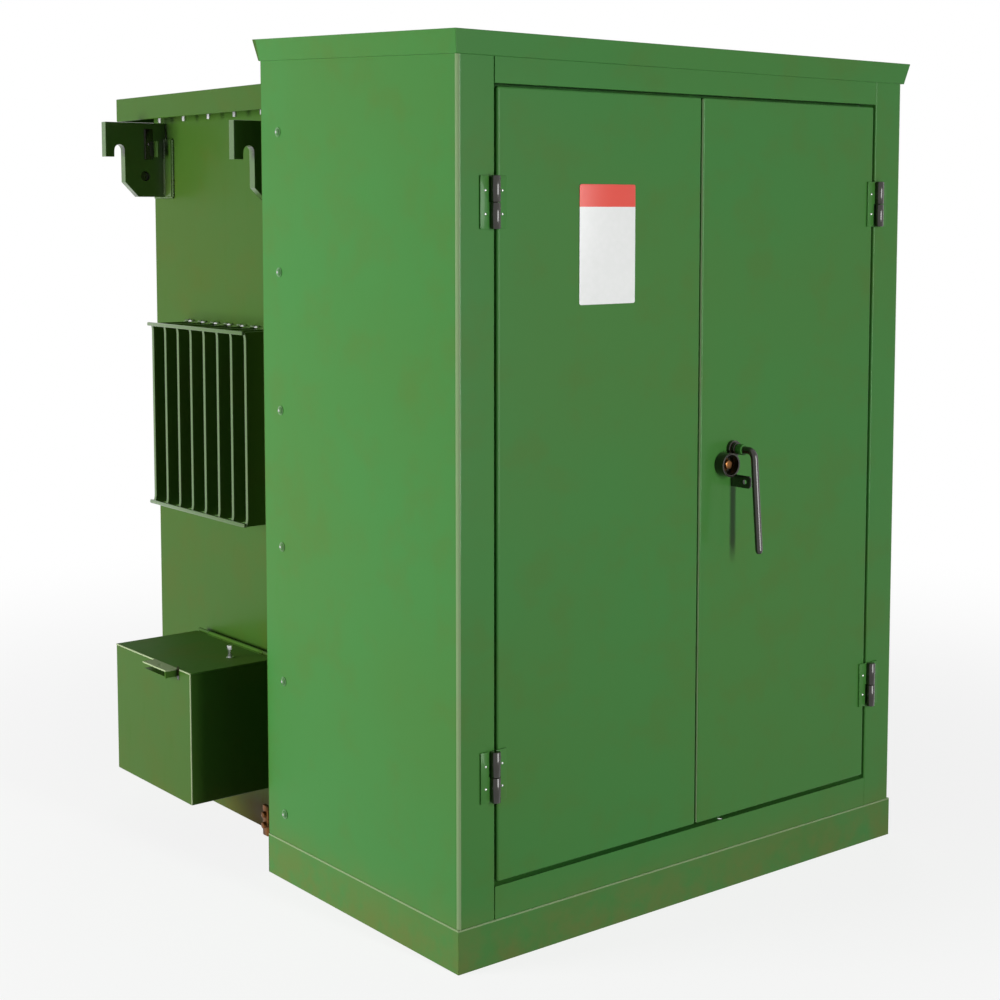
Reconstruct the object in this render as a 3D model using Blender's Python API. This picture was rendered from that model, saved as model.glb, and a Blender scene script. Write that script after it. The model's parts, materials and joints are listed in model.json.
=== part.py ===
"""Pad-mounted transformer: a locked terminal cabinet in front of a finned oil tank.

Metres, +Z up. X runs across the doors, -Y is the door side, and the origin is the
middle of the footprint on the surface that the transformer stands on.
"""

import math

import bmesh
import bpy
from mathutils import Matrix, Vector

# Cabinet
CABINET_WIDTH = 1.200
CABINET_DEPTH = 0.660
CABINET_HEIGHT = 1.700
ROOF_RISE = 0.030
HOOD_EDGE = 0.043
HOOD_FLARE = 0.009
SKIRT_HEIGHT = 0.083
SKIRT_PROUD = 0.0015
SKIRT_LEDGE = 0.025
POST_WIDTH = 0.084
HEADER_HEIGHT = 0.090  # from the roof's front edge down to the opening
HEADER_TUCK = 0.010  # the header's top edge lies this far under the roof
OPENING_BOTTOM = 0.145
JAMB_DEPTH = 0.040
STOP_LIP = 0.018
SHEET = 0.003
FIT = 0.0003  # gap between pieces that touch

# Doors
DOOR_DEPTH = 0.030
HINGE_SIDE_GAP = 0.006
MIDDLE_GAP = 0.004
TOP_GAP = 0.005
BOTTOM_GAP = 0.007

# Hinges
HINGE_INSET = 0.2105  # from each end of the opening to the middle of its hinge
HINGE_LENGTH = 0.095
HINGE_AXIS_OUT = 0.005  # the pin stands this far outside the opening's edge
BARREL_RADIUS = 0.009
LEAF_WIDTH = 0.030
LEAF = 0.003
PIN_RADIUS = 0.004
PIN_CLEARANCE = 0.0003

# Handle, latch and lock on the right door
HANDLE_X = 0.092
HANDLE_RISE = 0.0315  # above the middle of the opening
SHAFT_RADIUS = 0.008
SHAFT_CLEARANCE = 0.0005
HANDLE_PLATE_RADIUS = 0.0130
HANDLE_PLATE = 0.008
HANDLE_STANDOFF = 0.0095
HANDLE_ROD_RADIUS = 0.0075
HANDLE_REACH = 0.062
HANDLE_DROP = 0.205
HANDLE_LEAN = 0.016
HANDLE_HUB_RADIUS = 0.011
HANDLE_HUB = 0.016
BOSS_RADIUS = 0.0165
BOSS_HEIGHT = 0.009
CUP_X = 0.0665
CUP_DROP = 0.0295  # below the handle's shaft
CUP_RADIUS = 0.0245
CUP_WALL = 0.004
CUP_HEIGHT = 0.024
PENTA_RADIUS = 0.010
PENTA_SHANK = 0.006
TAB_X = 0.089
TAB_DROP = 0.0345  # below the cup's middle
TAB_HEIGHT = 0.025
TAB_THICKNESS = 0.005
TAB_REACH = 0.053
PADLOCK_HOLE = 0.005
CAM_RADIUS = 0.022
CAM_THROW = 0.0156
CAM_THICKNESS = 0.004
CAM_PIN = 0.003
LATCH_PLATE = 0.003
LATCH_REACH = 0.065
LATCH_ROD_RADIUS = 0.005
LATCH_ROD_OFFSET = 0.013
SLOT_CLEARANCE = 0.0012

# Tank and cover
TANK_WIDTH = 0.940
TANK_DEPTH = 0.713
TANK_WALL = 0.006
RIM_DROP = 0.060  # below the roof's front edge
RIM_WIDTH = 0.055
RIM_THICKNESS = 0.008
FRONT_PLATE_RISE = 0.012  # above the roof's front edge, under its higher back edge
SIDE_FLANGE = 0.090
COVER_OVERHANG = 0.0645
COVER_PLATE = 0.006
COVER_SKIRT = 0.053
COVER_SKIRT_WALL = 0.004
GASKET = 0.0045

# Radiators
FIN_COUNT = 8
FIN_PITCH = 0.0594
FIN_THICKNESS = 0.010
FIN_REACH = 0.100
FIN_LENGTH = 0.421
FIN_BOTTOM = 0.710
FIN_FIRST_Y = 0.1075
FIN_CORNER = 0.020
FIN_BASE = 0.004
TIE_BAR = 0.010

# Lifting lugs
LUG_REACH = 0.156
LUG_THICKNESS = 0.020
LUG_DROP = 0.049  # below the tank's rim
LUG_FRONT_LOWER = 0.020  # the front pair hangs this much lower
LUG_HEIGHT = 0.172
LUG_BACK_INSET = 0.053
LUG_FRONT_INSET = 0.075
LUG_PRONG = 0.022
LUG_NOTCH = 0.026
LUG_PRONG_LENGTH = 0.080
LUG_NOTCH_DROP = 0.051
LUG_HOLE = 0.012
LUG_PAD_WIDTH = 0.036
LUG_PAD = 0.006

# Side box round the drain valve
BOX_DEPTH = 0.230
BOX_WIDTH = 0.343
BOX_MIDDLE_Y = 0.295
BOX_BOTTOM = 0.122
BOX_TOP = 0.409
LID_FLANGE = 0.008
LID_SIDE_GAP = 0.001
LID_SEAT = 0.0005
LID_HINGE_IN = 0.018  # the lid's pin stands this far from the tank wall
LID_BARREL = 0.0045
LID_KNUCKLE = 0.050
LID_PIN = 0.002
LID_PIN_CLEARANCE = 0.0004
HASP_MIDDLE_Y = 0.232
HASP_WIDTH = 0.104
HASP_REACH = 0.028
HASP_DROP = 0.014
HASP_HOLE = 0.005
STUD_X = -0.562
STUD_Y = 0.195
STUD_HEIGHT = 0.027
STUD_RADIUS = 0.005

# Drain valve
VALVE_Z = 0.215
VALVE_BODY = 0.026
VALVE_FLANGE = 0.036
VALVE_REACH = 0.105
STEM_RADIUS = 0.006
WHEEL_RADIUS = 0.040
WHEEL_RIM = 0.005

# Terminals and fittings on the front plate
HV_X = (-0.400, -0.270, -0.140)
HV_Z = 0.850
LV_X = (0.120, 0.220, 0.320, 0.420)
LV_Z = 0.950
FUSE_X = (-0.410, -0.310, -0.210)
FUSE_DROP = 0.400  # fuses, gauges, relief valve and barrier are set out from the roof
FUSE_TILT = math.radians(30)
FUSE_BORE = 0.0215
FUSE_WALL = 0.0045
FUSE_INSIDE = 0.240
FUSE_OUTSIDE = 0.075
SWITCH_X = -0.090
SWITCH_RISE = 0.220  # above the tap changer
SWITCH_HANDLE = (0.110, 0.022)
TAP_X = -0.090
TAP_Z = 1.080
TAP_HANDLE = (0.070, 0.018)
DIAL_SHAFT = 0.009
LEVEL_X = 0.300
THERMOMETER_X = 0.130
GAUGE_DROP = 0.280
GAUGE_STUB = 0.018
RELIEF_X = 0.420
RELIEF_DROP = 0.180
RELIEF_STUB = 0.016
RELIEF_BORE = 0.006
BUSHING_FLANGE = 0.046
HV_SHANK = 0.028
LV_SHANK = 0.030
SPADE_THICKNESS = 0.012
SPADE_HEIGHT = 0.076
SPADE_LENGTH = 0.100
SPADE_PITCH = 0.0445
SPADE_HOLE = 0.007
BARRIER_THICKNESS = 0.006
BARRIER_FRONT = 0.100
BARRIER_BOTTOM = 0.300
BARRIER_DROP = 0.100

# Core and coils
CORE_Y = 0.370
LIMB = 0.110
LIMB_PITCH = 0.300
CORE_BOTTOM = 0.170
WINDOW_HEIGHT = 0.690
COIL_OUTER = 0.135
COIL_GAP = 0.020
COIL_SIDES = 32
FRAME_BAR = 0.012
FRAME_HEIGHT = 0.060

# Ground connector
GROUND_Y = 0.158
GROUND_Z = 0.040

ROUND = 20
SMALL_ROUND = 14

front_y = -(CABINET_DEPTH + TANK_DEPTH) / 2
joint_y = front_y + CABINET_DEPTH
back_y = joint_y + TANK_DEPTH
half_width = CABINET_WIDTH / 2
opening_x = half_width - POST_WIDTH
plate_y = joint_y - TANK_WALL  # outer face of the tank's front plate
tank_x = TANK_WIDTH / 2
opening_top = CABINET_HEIGHT - HEADER_HEIGHT
opening_middle = (opening_top + OPENING_BOTTOM) / 2
hinge_spread = (opening_top - OPENING_BOTTOM) / 2 - HINGE_INSET
hinge_x = opening_x + HINGE_AXIS_OUT
hinge_y = front_y - FIT - BARREL_RADIUS - 0.0005
door_top = opening_top - TOP_GAP
door_bottom = OPENING_BOTTOM + BOTTOM_GAP
handle_z = opening_middle + HANDLE_RISE
cup_z = handle_z - CUP_DROP
tab_z = cup_z - TAB_DROP
rim_z = CABINET_HEIGHT - RIM_DROP
front_plate_top = CABINET_HEIGHT + FRONT_PLATE_RISE
lug_top = rim_z - LUG_DROP
lug_bottom = lug_top - LUG_HEIGHT
fuse_z = CABINET_HEIGHT - FUSE_DROP
switch_z = TAP_Z + SWITCH_RISE
gauge_z = CABINET_HEIGHT - GAUGE_DROP
relief_z = CABINET_HEIGHT - RELIEF_DROP

materials = {}
places = {}


# ---------------------------------------------------------------- helpers
def material(name, color, roughness, metallic):
    made = bpy.data.materials.new(name)
    made.use_nodes = True
    shader = made.node_tree.nodes["Principled BSDF"]
    shader.inputs["Base Color"].default_value = (*color, 1.0)
    shader.inputs["Roughness"].default_value = roughness
    shader.inputs["Metallic"].default_value = metallic
    made.diffuse_color = (*color, 1.0)
    materials[name] = made


def add_box(bm, low, high):
    low, high = Vector(low), Vector(high)
    made = bmesh.ops.create_cube(bm, size=1.0)["verts"]
    bmesh.ops.scale(bm, vec=high - low, verts=made)
    bmesh.ops.translate(bm, vec=(low + high) / 2, verts=made)
    return made


def add_prism(bm, outline, axis, start, end):
    """Extrudes a flat outline along X, Y or Z. Its points are the two other axes in order."""

    def place(point, along):
        values = list(point)
        values.insert("XYZ".index(axis), along)
        return values

    face = bm.faces.new([bm.verts.new(place(point, start)) for point in outline])
    pushed = bmesh.ops.extrude_face_region(bm, geom=[face])["geom"]
    moved = [item for item in pushed if isinstance(item, bmesh.types.BMVert)]
    step = Vector(place((0, 0), end - start))
    bmesh.ops.translate(bm, vec=step, verts=moved)
    bmesh.ops.recalc_face_normals(bm, faces=bm.faces)
    return moved


def add_rod(bm, start, end, radius, segments=ROUND):
    """A cylinder between two points."""
    start, end = Vector(start), Vector(end)
    turn = (end - start).to_track_quat("Z", "Y").to_matrix().to_4x4()
    middle = Matrix.Translation((start + end) / 2)
    return bmesh.ops.create_cone(
        bm,
        cap_ends=True,
        segments=segments,
        radius1=radius,
        radius2=radius,
        depth=(end - start).length,
        matrix=middle @ turn,
    )["verts"]


def add_turned(bm, profile, origin, axis, segments=ROUND):
    """Turns (radius, height) points about the line through origin along axis."""
    start = len(bm.verts)
    points = [bm.verts.new((radius, 0, height)) for radius, height in profile]
    edges = [bm.edges.new((a, b)) for a, b in zip(points, points[1:])]
    if profile[0][0] > 0 and profile[-1][0] > 0:
        edges.append(bm.edges.new((points[-1], points[0])))
    bmesh.ops.spin(
        bm,
        geom=points + edges,
        cent=(0, 0, 0),
        axis=(0, 0, 1),
        angle=2 * math.pi,
        steps=segments,
        use_merge=True,
    )
    bm.verts.ensure_lookup_table()
    made = bm.verts[start:]
    bmesh.ops.remove_doubles(bm, verts=made, dist=1e-6)
    bm.verts.ensure_lookup_table()
    made = bm.verts[start:]
    turn = Vector(axis).to_track_quat("Z", "Y").to_matrix().to_4x4()
    bmesh.ops.transform(bm, matrix=Matrix.Translation(origin) @ turn, verts=made)
    bmesh.ops.recalc_face_normals(bm, faces=bm.faces)
    return made


def ring_profile(ring_radius, wire, height, sides=6):
    """A small circle to turn into a round ring, as a closed profile."""
    angles = [2 * math.pi * i / sides for i in range(sides)]
    return [(ring_radius + wire * math.cos(a), height + wire * math.sin(a)) for a in angles]


def arc(center, radius, start, end, steps):
    """Points of an arc, with its angles in degrees."""
    turns = [math.radians(start + (end - start) * i / steps) for i in range(steps + 1)]
    return [(center[0] + radius * math.cos(t), center[1] + radius * math.sin(t)) for t in turns]


def shape(draw):
    """A mesh from a function that draws world-space geometry into a bmesh."""
    bm = bmesh.new()
    draw(bm)
    mesh = bpy.data.meshes.new("shape")
    bm.to_mesh(mesh)
    bm.free()
    return mesh


def piece(name, draw, finish, pivot=(0, 0, 0), parent="transformer", smooth=False):
    """One solid sub-part, drawn in world coordinates, with its origin at pivot."""
    mesh = shape(draw)
    mesh.name = name
    mesh.transform(Matrix.Translation(-Vector(pivot)))
    mesh.materials.append(materials[finish])
    if smooth:
        mesh.shade_smooth()
        mesh.set_sharp_from_angle(angle=math.radians(35))
    made = bpy.data.objects.new(name, mesh)
    bpy.context.scene.collection.objects.link(made)
    made.parent = bpy.data.objects[parent]
    made.location = Vector(pivot) - places[parent]
    places[name] = Vector(pivot)
    return made


def boolean(target, operation, draw):
    """Adds a live Boolean to target, with a hidden helper that draw makes."""
    helper = bpy.data.objects.new(f"{target.name}_{operation.lower()}", shape(draw))
    bpy.context.scene.collection.objects.link(helper)
    helper.hide_render = True
    helper.display_type = "WIRE"
    step = target.modifiers.new(operation.title(), "BOOLEAN")
    step.operation = operation
    step.solver = "EXACT"
    step.use_self = True
    step.object = helper


def cut(target, draw):
    boolean(target, "DIFFERENCE", draw)


def fuse(target, draw):
    boolean(target, "UNION", draw)


def on_plate(x, z, out=0.0):
    """A point in front of the tank's front plate."""
    return Vector((x, plate_y - out, z))


OUTWARD = Vector((0, -1, 0))


# ---------------------------------------------------------------- cabinet
def roof_z(y):
    """Height of the sloping roof's top."""
    return CABINET_HEIGHT + ROOF_RISE * (y - front_y) / CABINET_DEPTH


def side_panel(name, side):
    """Side sheet folded round the corner into the door post, its jamb and the stop lip."""
    inner = half_width - SHEET
    jamb_back = front_y + JAMB_DEPTH
    outline = [
        (half_width, joint_y),
        (half_width, front_y),
        (opening_x, front_y),
        (opening_x, jamb_back - SHEET),
        (opening_x - STOP_LIP, jamb_back - SHEET),
        (opening_x - STOP_LIP, jamb_back),
        (opening_x + SHEET, jamb_back),
        (opening_x + SHEET, front_y + SHEET),
        (inner, front_y + SHEET),
        (inner, joint_y),
    ]

    def draw(bm):
        points = [(side * x, y) for x, y in outline]
        tops = add_prism(bm, points, "Z", SKIRT_HEIGHT + FIT, CABINET_HEIGHT)
        for vert in tops:
            vert.co.z = roof_z(vert.co.y) - SHEET - 0.0005

    piece(name, draw, "green_paint")


def hood_ring(bm, half_x, low_y, high_y, drop):
    """Four corners that follow the roof's slope, at a drop below its top."""
    corners = [(-half_x, low_y), (half_x, low_y), (half_x, high_y), (-half_x, high_y)]
    return [bm.verts.new((x, y, roof_z(y) - drop)) for x, y in corners]


def add_hood(bm, inset, low_drop, high_drop):
    """A block whose sides lean out towards its top."""
    rings = []
    for drop in (low_drop, high_drop):
        lean = HOOD_FLARE * (HOOD_EDGE - drop) / HOOD_EDGE
        grow = FIT + SHEET - inset + lean
        rings.append(
            hood_ring(bm, half_width + grow, front_y - grow, joint_y + grow, drop)
        )
    bm.faces.new(reversed(rings[0]))
    bm.faces.new(rings[1])
    for i in range(4):
        j = (i + 1) % 4
        bm.faces.new((rings[0][i], rings[0][j], rings[1][j], rings[1][i]))
    bmesh.ops.recalc_face_normals(bm, faces=bm.faces)


def cabinet_roof():
    roof = piece("cabinet_roof", lambda bm: add_hood(bm, 0, HOOD_EDGE, 0), "green_paint")
    cut(roof, lambda bm: add_hood(bm, SHEET, HOOD_EDGE + 0.010, SHEET))


def rail(name, edge, far, inward):
    """Header or sill: a face plate with a return along the opening and a stop lip."""
    half = opening_x - FIT
    back = front_y + JAMB_DEPTH - SHEET - FIT
    turned = edge - inward * SHEET
    outline = [
        (front_y, edge),
        (back, edge),
        (back, turned),
        (front_y + SHEET, turned),
        (front_y + SHEET, far),
        (front_y, far),
    ]
    lip_half = opening_x - STOP_LIP - 0.001
    lip_z = sorted((turned, edge + inward * STOP_LIP))
    made = piece(name, lambda bm: add_prism(bm, outline, "X", -half, half), "green_paint")
    fuse(
        made,
        lambda bm: add_box(
            bm, (-lip_half, back - SHEET, lip_z[0]), (lip_half, back, lip_z[1])
        ),
    )
    rod_x = HANDLE_X - inward * LATCH_ROD_OFFSET
    rod_y = latch_y()
    cut(
        made,
        lambda bm: add_rod(
            bm,
            (rod_x, rod_y, edge - 0.010),
            (rod_x, rod_y, edge + 0.010),
            LATCH_ROD_RADIUS + 0.0015,
            SMALL_ROUND,
        ),
    )


def base_skirt():
    """Three-sided plinth with an inward ledge that carries the sheets above."""
    outer = half_width + SKIRT_PROUD
    inner = outer - SHEET
    face = front_y - SKIRT_PROUD
    outline = [
        (outer, joint_y),
        (outer, face),
        (-outer, face),
        (-outer, joint_y),
        (-inner, joint_y),
        (-inner, face + SHEET),
        (inner, face + SHEET),
        (inner, joint_y),
    ]
    ledge_in = inner - SKIRT_LEDGE
    ledge_end = plate_y - 0.001
    ledge = [
        (outer - 0.001, ledge_end),
        (outer - 0.001, face + 0.001),
        (-outer + 0.001, face + 0.001),
        (-outer + 0.001, ledge_end),
        (-ledge_in, ledge_end),
        (-ledge_in, face + SHEET + SKIRT_LEDGE),
        (ledge_in, face + SHEET + SKIRT_LEDGE),
        (ledge_in, ledge_end),
    ]
    made = piece(
        "base_skirt", lambda bm: add_prism(bm, outline, "Z", 0, SKIRT_HEIGHT), "green_paint"
    )
    fuse(
        made,
        lambda bm: add_prism(bm, ledge, "Z", SKIRT_HEIGHT - SHEET, SKIRT_HEIGHT),
    )


def barrier():
    half = BARRIER_THICKNESS / 2
    low = (-half, front_y + BARRIER_FRONT, BARRIER_BOTTOM)
    high = (half, plate_y - FIT, CABINET_HEIGHT - BARRIER_DROP)
    piece("hv_lv_barrier", lambda bm: add_box(bm, low, high), "fibre_board")


# ---------------------------------------------------------------- doors and hinges
def door(name, side):
    """A folded pan, open at the back, that hangs in the opening."""
    free_edge = MIDDLE_GAP / 2
    hung_edge = opening_x - HINGE_SIDE_GAP
    low_x, high_x = sorted((side * free_edge, side * hung_edge))
    low = Vector((low_x, front_y, door_bottom))
    high = Vector((high_x, front_y + DOOR_DEPTH, door_top))
    wall = Vector((SHEET, SHEET, SHEET))
    back = Vector((0, 0.010 + SHEET, 0))
    pivot = (side * hinge_x, hinge_y, opening_middle)
    made = piece(name, lambda bm: add_box(bm, low, high), "green_paint", pivot)
    cut(made, lambda bm: add_box(bm, low + wall, high - wall + back))
    return made


def leaf_outline(side, axis_x, middle, joins_low):
    """Hinge leaf seen from the front: full width at its own knuckle, notched at the other."""
    far = axis_x + side * LEAF_WIDTH
    notch = axis_x + side * (BARREL_RADIUS + 0.0015)
    half = HINGE_LENGTH / 2
    low_x, high_x = (axis_x, notch) if joins_low else (notch, axis_x)
    return [
        (far, middle - half),
        (low_x, middle - half),
        (low_x, middle - FIT if joins_low else middle + FIT),
        (high_x, middle - FIT if joins_low else middle + FIT),
        (high_x, middle + half),
        (far, middle + half),
    ]


def hinge(name, side, middle, door_name):
    """A lift-off hinge: the lower knuckle and pin on the post, the upper one on the door."""
    axis_x = side * hinge_x
    half = HINGE_LENGTH / 2
    leaf_low = front_y - FIT - LEAF
    leaf_high = front_y - FIT

    def rod(bm, low, high, radius):
        add_rod(bm, (axis_x, hinge_y, low), (axis_x, hinge_y, high), radius, SMALL_ROUND)

    fixed = leaf_outline(side, axis_x, middle, True)
    post_leaf = piece(
        f"{name}_post_leaf",
        lambda bm: add_prism(bm, fixed, "Y", leaf_low, leaf_high),
        "green_paint",
        smooth=True,
    )
    fuse(post_leaf, lambda bm: rod(bm, middle - half, middle - FIT, BARREL_RADIUS))
    fuse(post_leaf, lambda bm: rod(bm, middle - 0.010, middle + half - 0.008, PIN_RADIUS))
    moving = leaf_outline(-side, axis_x, middle, False)
    door_leaf = piece(
        f"{name}_door_leaf",
        lambda bm: add_prism(bm, moving, "Y", leaf_low, leaf_high),
        "green_paint",
        (axis_x, hinge_y, middle),
        door_name,
        smooth=True,
    )
    bore = PIN_RADIUS + PIN_CLEARANCE
    fuse(door_leaf, lambda bm: rod(bm, middle + FIT, middle + half, BARREL_RADIUS))
    cut(door_leaf, lambda bm: rod(bm, middle - 0.001, middle + half - 0.006, bore))


def latch_y():
    """Depth of the latch rods' centre line behind the door's face."""
    return front_y + SHEET + 0.0008 + CAM_THICKNESS + 0.0012 + LATCH_PLATE / 2


def right_door_fittings(made):
    """Handle boss, lock cup, padlock tab and the rods' holes on the right door."""
    face = front_y
    cup = (CUP_X, cup_z)

    def post(bm, x, z, radius, out, back, segments=ROUND):
        add_rod(bm, (x, face - out, z), (x, face + back, z), radius, segments)

    overlap = SHEET / 2
    fuse(made, lambda bm: post(bm, *cup, CUP_RADIUS, CUP_HEIGHT, overlap))
    fuse(made, lambda bm: post(bm, HANDLE_X, handle_z, BOSS_RADIUS, BOSS_HEIGHT, overlap))
    tab_low = (TAB_X, face - TAB_REACH, tab_z - TAB_HEIGHT / 2)
    tab_high = (TAB_X + TAB_THICKNESS, face + overlap, tab_z + TAB_HEIGHT / 2)
    fuse(made, lambda bm: add_box(bm, tab_low, tab_high))
    shaft_hole = SHAFT_RADIUS + SHAFT_CLEARANCE
    cut(made, lambda bm: post(bm, HANDLE_X, handle_z, shaft_hole, 0.020, 0.010))
    cut(made, lambda bm: post(bm, *cup, CUP_RADIUS - CUP_WALL, 0.040, -0.0005))
    cut(made, lambda bm: post(bm, *cup, PENTA_SHANK + 0.0005, 0.005, 0.010))
    hole_y = face - TAB_REACH + 0.014
    cut(
        made,
        lambda bm: add_rod(
            bm,
            (TAB_X - 0.010, hole_y, tab_z),
            (TAB_X + TAB_THICKNESS + 0.010, hole_y, tab_z),
            PADLOCK_HOLE,
            SMALL_ROUND,
        ),
    )
    hole = LATCH_ROD_RADIUS + SHAFT_CLEARANCE
    for x, z in (
        (HANDLE_X + LATCH_ROD_OFFSET, door_top),
        (HANDLE_X - LATCH_ROD_OFFSET, door_bottom),
    ):
        start, end = (x, latch_y(), z - 0.010), (x, latch_y(), z + 0.010)
        cut(made, lambda bm: add_rod(bm, start, end, hole, SMALL_ROUND))


def handle_path():
    """Centre line of the handle rod: out from the plate, round a bend and down."""
    out_start = HANDLE_STANDOFF + HANDLE_PLATE / 2
    bend = 0.016
    corner = HANDLE_REACH - bend
    down = handle_z - bend
    points = [(out_start, handle_z)]
    points += arc((corner, down), bend, 90, 5, 5)
    points.append((HANDLE_REACH + HANDLE_LEAN, handle_z - HANDLE_DROP))
    return [(HANDLE_X, front_y - out, z) for out, z in points]


def draw_tube(bm, path, radius, segments=12):
    """Sweeps a circle along a path in a plane of constant X."""
    side = Vector((1, 0, 0))
    rings = []
    points = [Vector(point) for point in path]
    for i, point in enumerate(points):
        before = points[max(i - 1, 0)]
        after = points[min(i + 1, len(points) - 1)]
        along = (after - before).normalized()
        up = side.cross(along)
        ring = []
        for k in range(segments):
            turn = 2 * math.pi * k / segments
            ring.append(bm.verts.new(point + radius * (math.cos(turn) * side + math.sin(turn) * up)))
        rings.append(ring)
    for a, b in zip(rings, rings[1:]):
        for k in range(segments):
            j = (k + 1) % segments
            bm.faces.new((a[k], a[j], b[j], b[k]))
    bm.faces.new(rings[0])
    bm.faces.new(rings[-1])
    bmesh.ops.recalc_face_normals(bm, faces=bm.faces)


def handle_and_latch():
    """Swing handle, its cam behind the door, the two latch rods and the lock bolt."""
    pivot = (HANDLE_X, front_y, handle_z)
    plate_out = HANDLE_STANDOFF + HANDLE_PLATE
    outline = [
        (0, -SHEET - 0.0005),
        (SHAFT_RADIUS, -SHEET - 0.0005),
        (SHAFT_RADIUS, HANDLE_STANDOFF),
        (HANDLE_PLATE_RADIUS, HANDLE_STANDOFF),
        (HANDLE_PLATE_RADIUS, plate_out),
        (HANDLE_HUB_RADIUS, plate_out),
        (HANDLE_HUB_RADIUS, plate_out + HANDLE_HUB),
        (0, plate_out + HANDLE_HUB),
    ]
    handle = piece(
        "door_handle",
        lambda bm: add_turned(bm, outline, pivot, OUTWARD),
        "black_steel",
        pivot,
        "right_door",
        smooth=True,
    )
    fuse(handle, lambda bm: draw_tube(bm, handle_path(), HANDLE_ROD_RADIUS))

    cam_front = front_y + SHEET + 0.0008
    cam_back = cam_front + CAM_THICKNESS
    throw = CAM_THROW * math.sin(math.pi / 4)
    cam = piece(
        "latch_cam",
        lambda bm: add_rod(
            bm, (HANDLE_X, cam_front, handle_z), (HANDLE_X, cam_back, handle_z), CAM_RADIUS
        ),
        "zinc_steel",
        pivot,
        "door_handle",
        smooth=True,
    )
    pin_end = latch_y() + LATCH_PLATE / 2 + 0.002

    def pins(bm):
        for sign in (1, -1):
            x, z = HANDLE_X + sign * throw, handle_z - sign * throw
            start, end = (x, cam_back - 0.002, z), (x, pin_end, z)
            add_rod(bm, start, end, CAM_PIN, SMALL_ROUND)

    fuse(cam, pins)
    latch_rod("upper_latch_rod", 1, throw, door_top)
    latch_rod("lower_latch_rod", -1, throw, door_bottom)
    penta_bolt()


def latch_rod(name, sign, throw, tip_z):
    """A round rod with a slotted end plate that rides on one of the cam's pins."""
    y = latch_y()
    x = HANDLE_X + sign * LATCH_ROD_OFFSET
    pin_z = handle_z - sign * throw
    near = HANDLE_X + sign * 0.0035
    far = HANDLE_X + sign * (CAM_THROW + CAM_PIN + 0.0045)
    low_z, high_z = sorted((pin_z - sign * 0.009, handle_z + sign * LATCH_REACH))
    low_x, high_x = sorted((near, far))
    made = piece(
        name,
        lambda bm: add_rod(
            bm,
            (x, y, handle_z + sign * (LATCH_REACH - 0.010)),
            (x, y, tip_z),
            LATCH_ROD_RADIUS,
            SMALL_ROUND,
        ),
        "zinc_steel",
        (x, y, pin_z),
        "right_door",
        smooth=True,
    )
    fuse(
        made,
        lambda bm: add_box(
            bm, (low_x, y - LATCH_PLATE / 2, low_z), (high_x, y + LATCH_PLATE / 2, high_z)
        ),
    )
    slot_x = sorted(
        (
            HANDLE_X + sign * (throw - CAM_PIN - 0.001),
            HANDLE_X + sign * (CAM_THROW + CAM_PIN + 0.001),
        )
    )
    slot_half = CAM_PIN + SLOT_CLEARANCE
    cut(
        made,
        lambda bm: add_box(
            bm,
            (slot_x[0], y - 0.005, pin_z - slot_half),
            (slot_x[1], y + 0.005, pin_z + slot_half),
        ),
    )


def penta_bolt():
    """Five-sided lock bolt that turns in the cup's floor."""
    origin = (CUP_X, front_y, cup_z)
    collar = 0.0008
    outline = [
        (0, -SHEET - 0.0015),
        (PENTA_SHANK, -SHEET - 0.0015),
        (PENTA_SHANK, collar),
        (0.014, collar),
        (0.014, 0.0045),
        (0, 0.0045),
    ]
    bolt = piece(
        "penta_bolt",
        lambda bm: add_turned(bm, outline, origin, OUTWARD),
        "zinc_steel",
        origin,
        "right_door",
        smooth=True,
    )
    fuse(
        bolt,
        lambda bm: add_rod(
            bm, (CUP_X, front_y - 0.003, cup_z), (CUP_X, front_y - 0.017, cup_z), PENTA_RADIUS, 5
        ),
    )


# ---------------------------------------------------------------- tank
def plate_holes(bm):
    """Every hole through the tank's front plate."""
    holes = [(x, HV_Z, HV_SHANK) for x in HV_X]
    holes += [(x, LV_Z, LV_SHANK) for x in LV_X]
    holes += [(SWITCH_X, switch_z, DIAL_SHAFT), (TAP_X, TAP_Z, DIAL_SHAFT)]
    holes += [(LEVEL_X, gauge_z, GAUGE_STUB), (THERMOMETER_X, gauge_z, GAUGE_STUB)]
    holes.append((RELIEF_X, relief_z, RELIEF_STUB))
    for x, z, radius in holes:
        add_rod(bm, on_plate(x, z, 0.020), on_plate(x, z, -0.020), radius + FIT)
    for x in FUSE_X:
        start, end = fuse_point(x, -0.060), fuse_point(x, 0.060)
        add_rod(bm, start, end, FUSE_BORE + FUSE_WALL + FIT)


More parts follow.
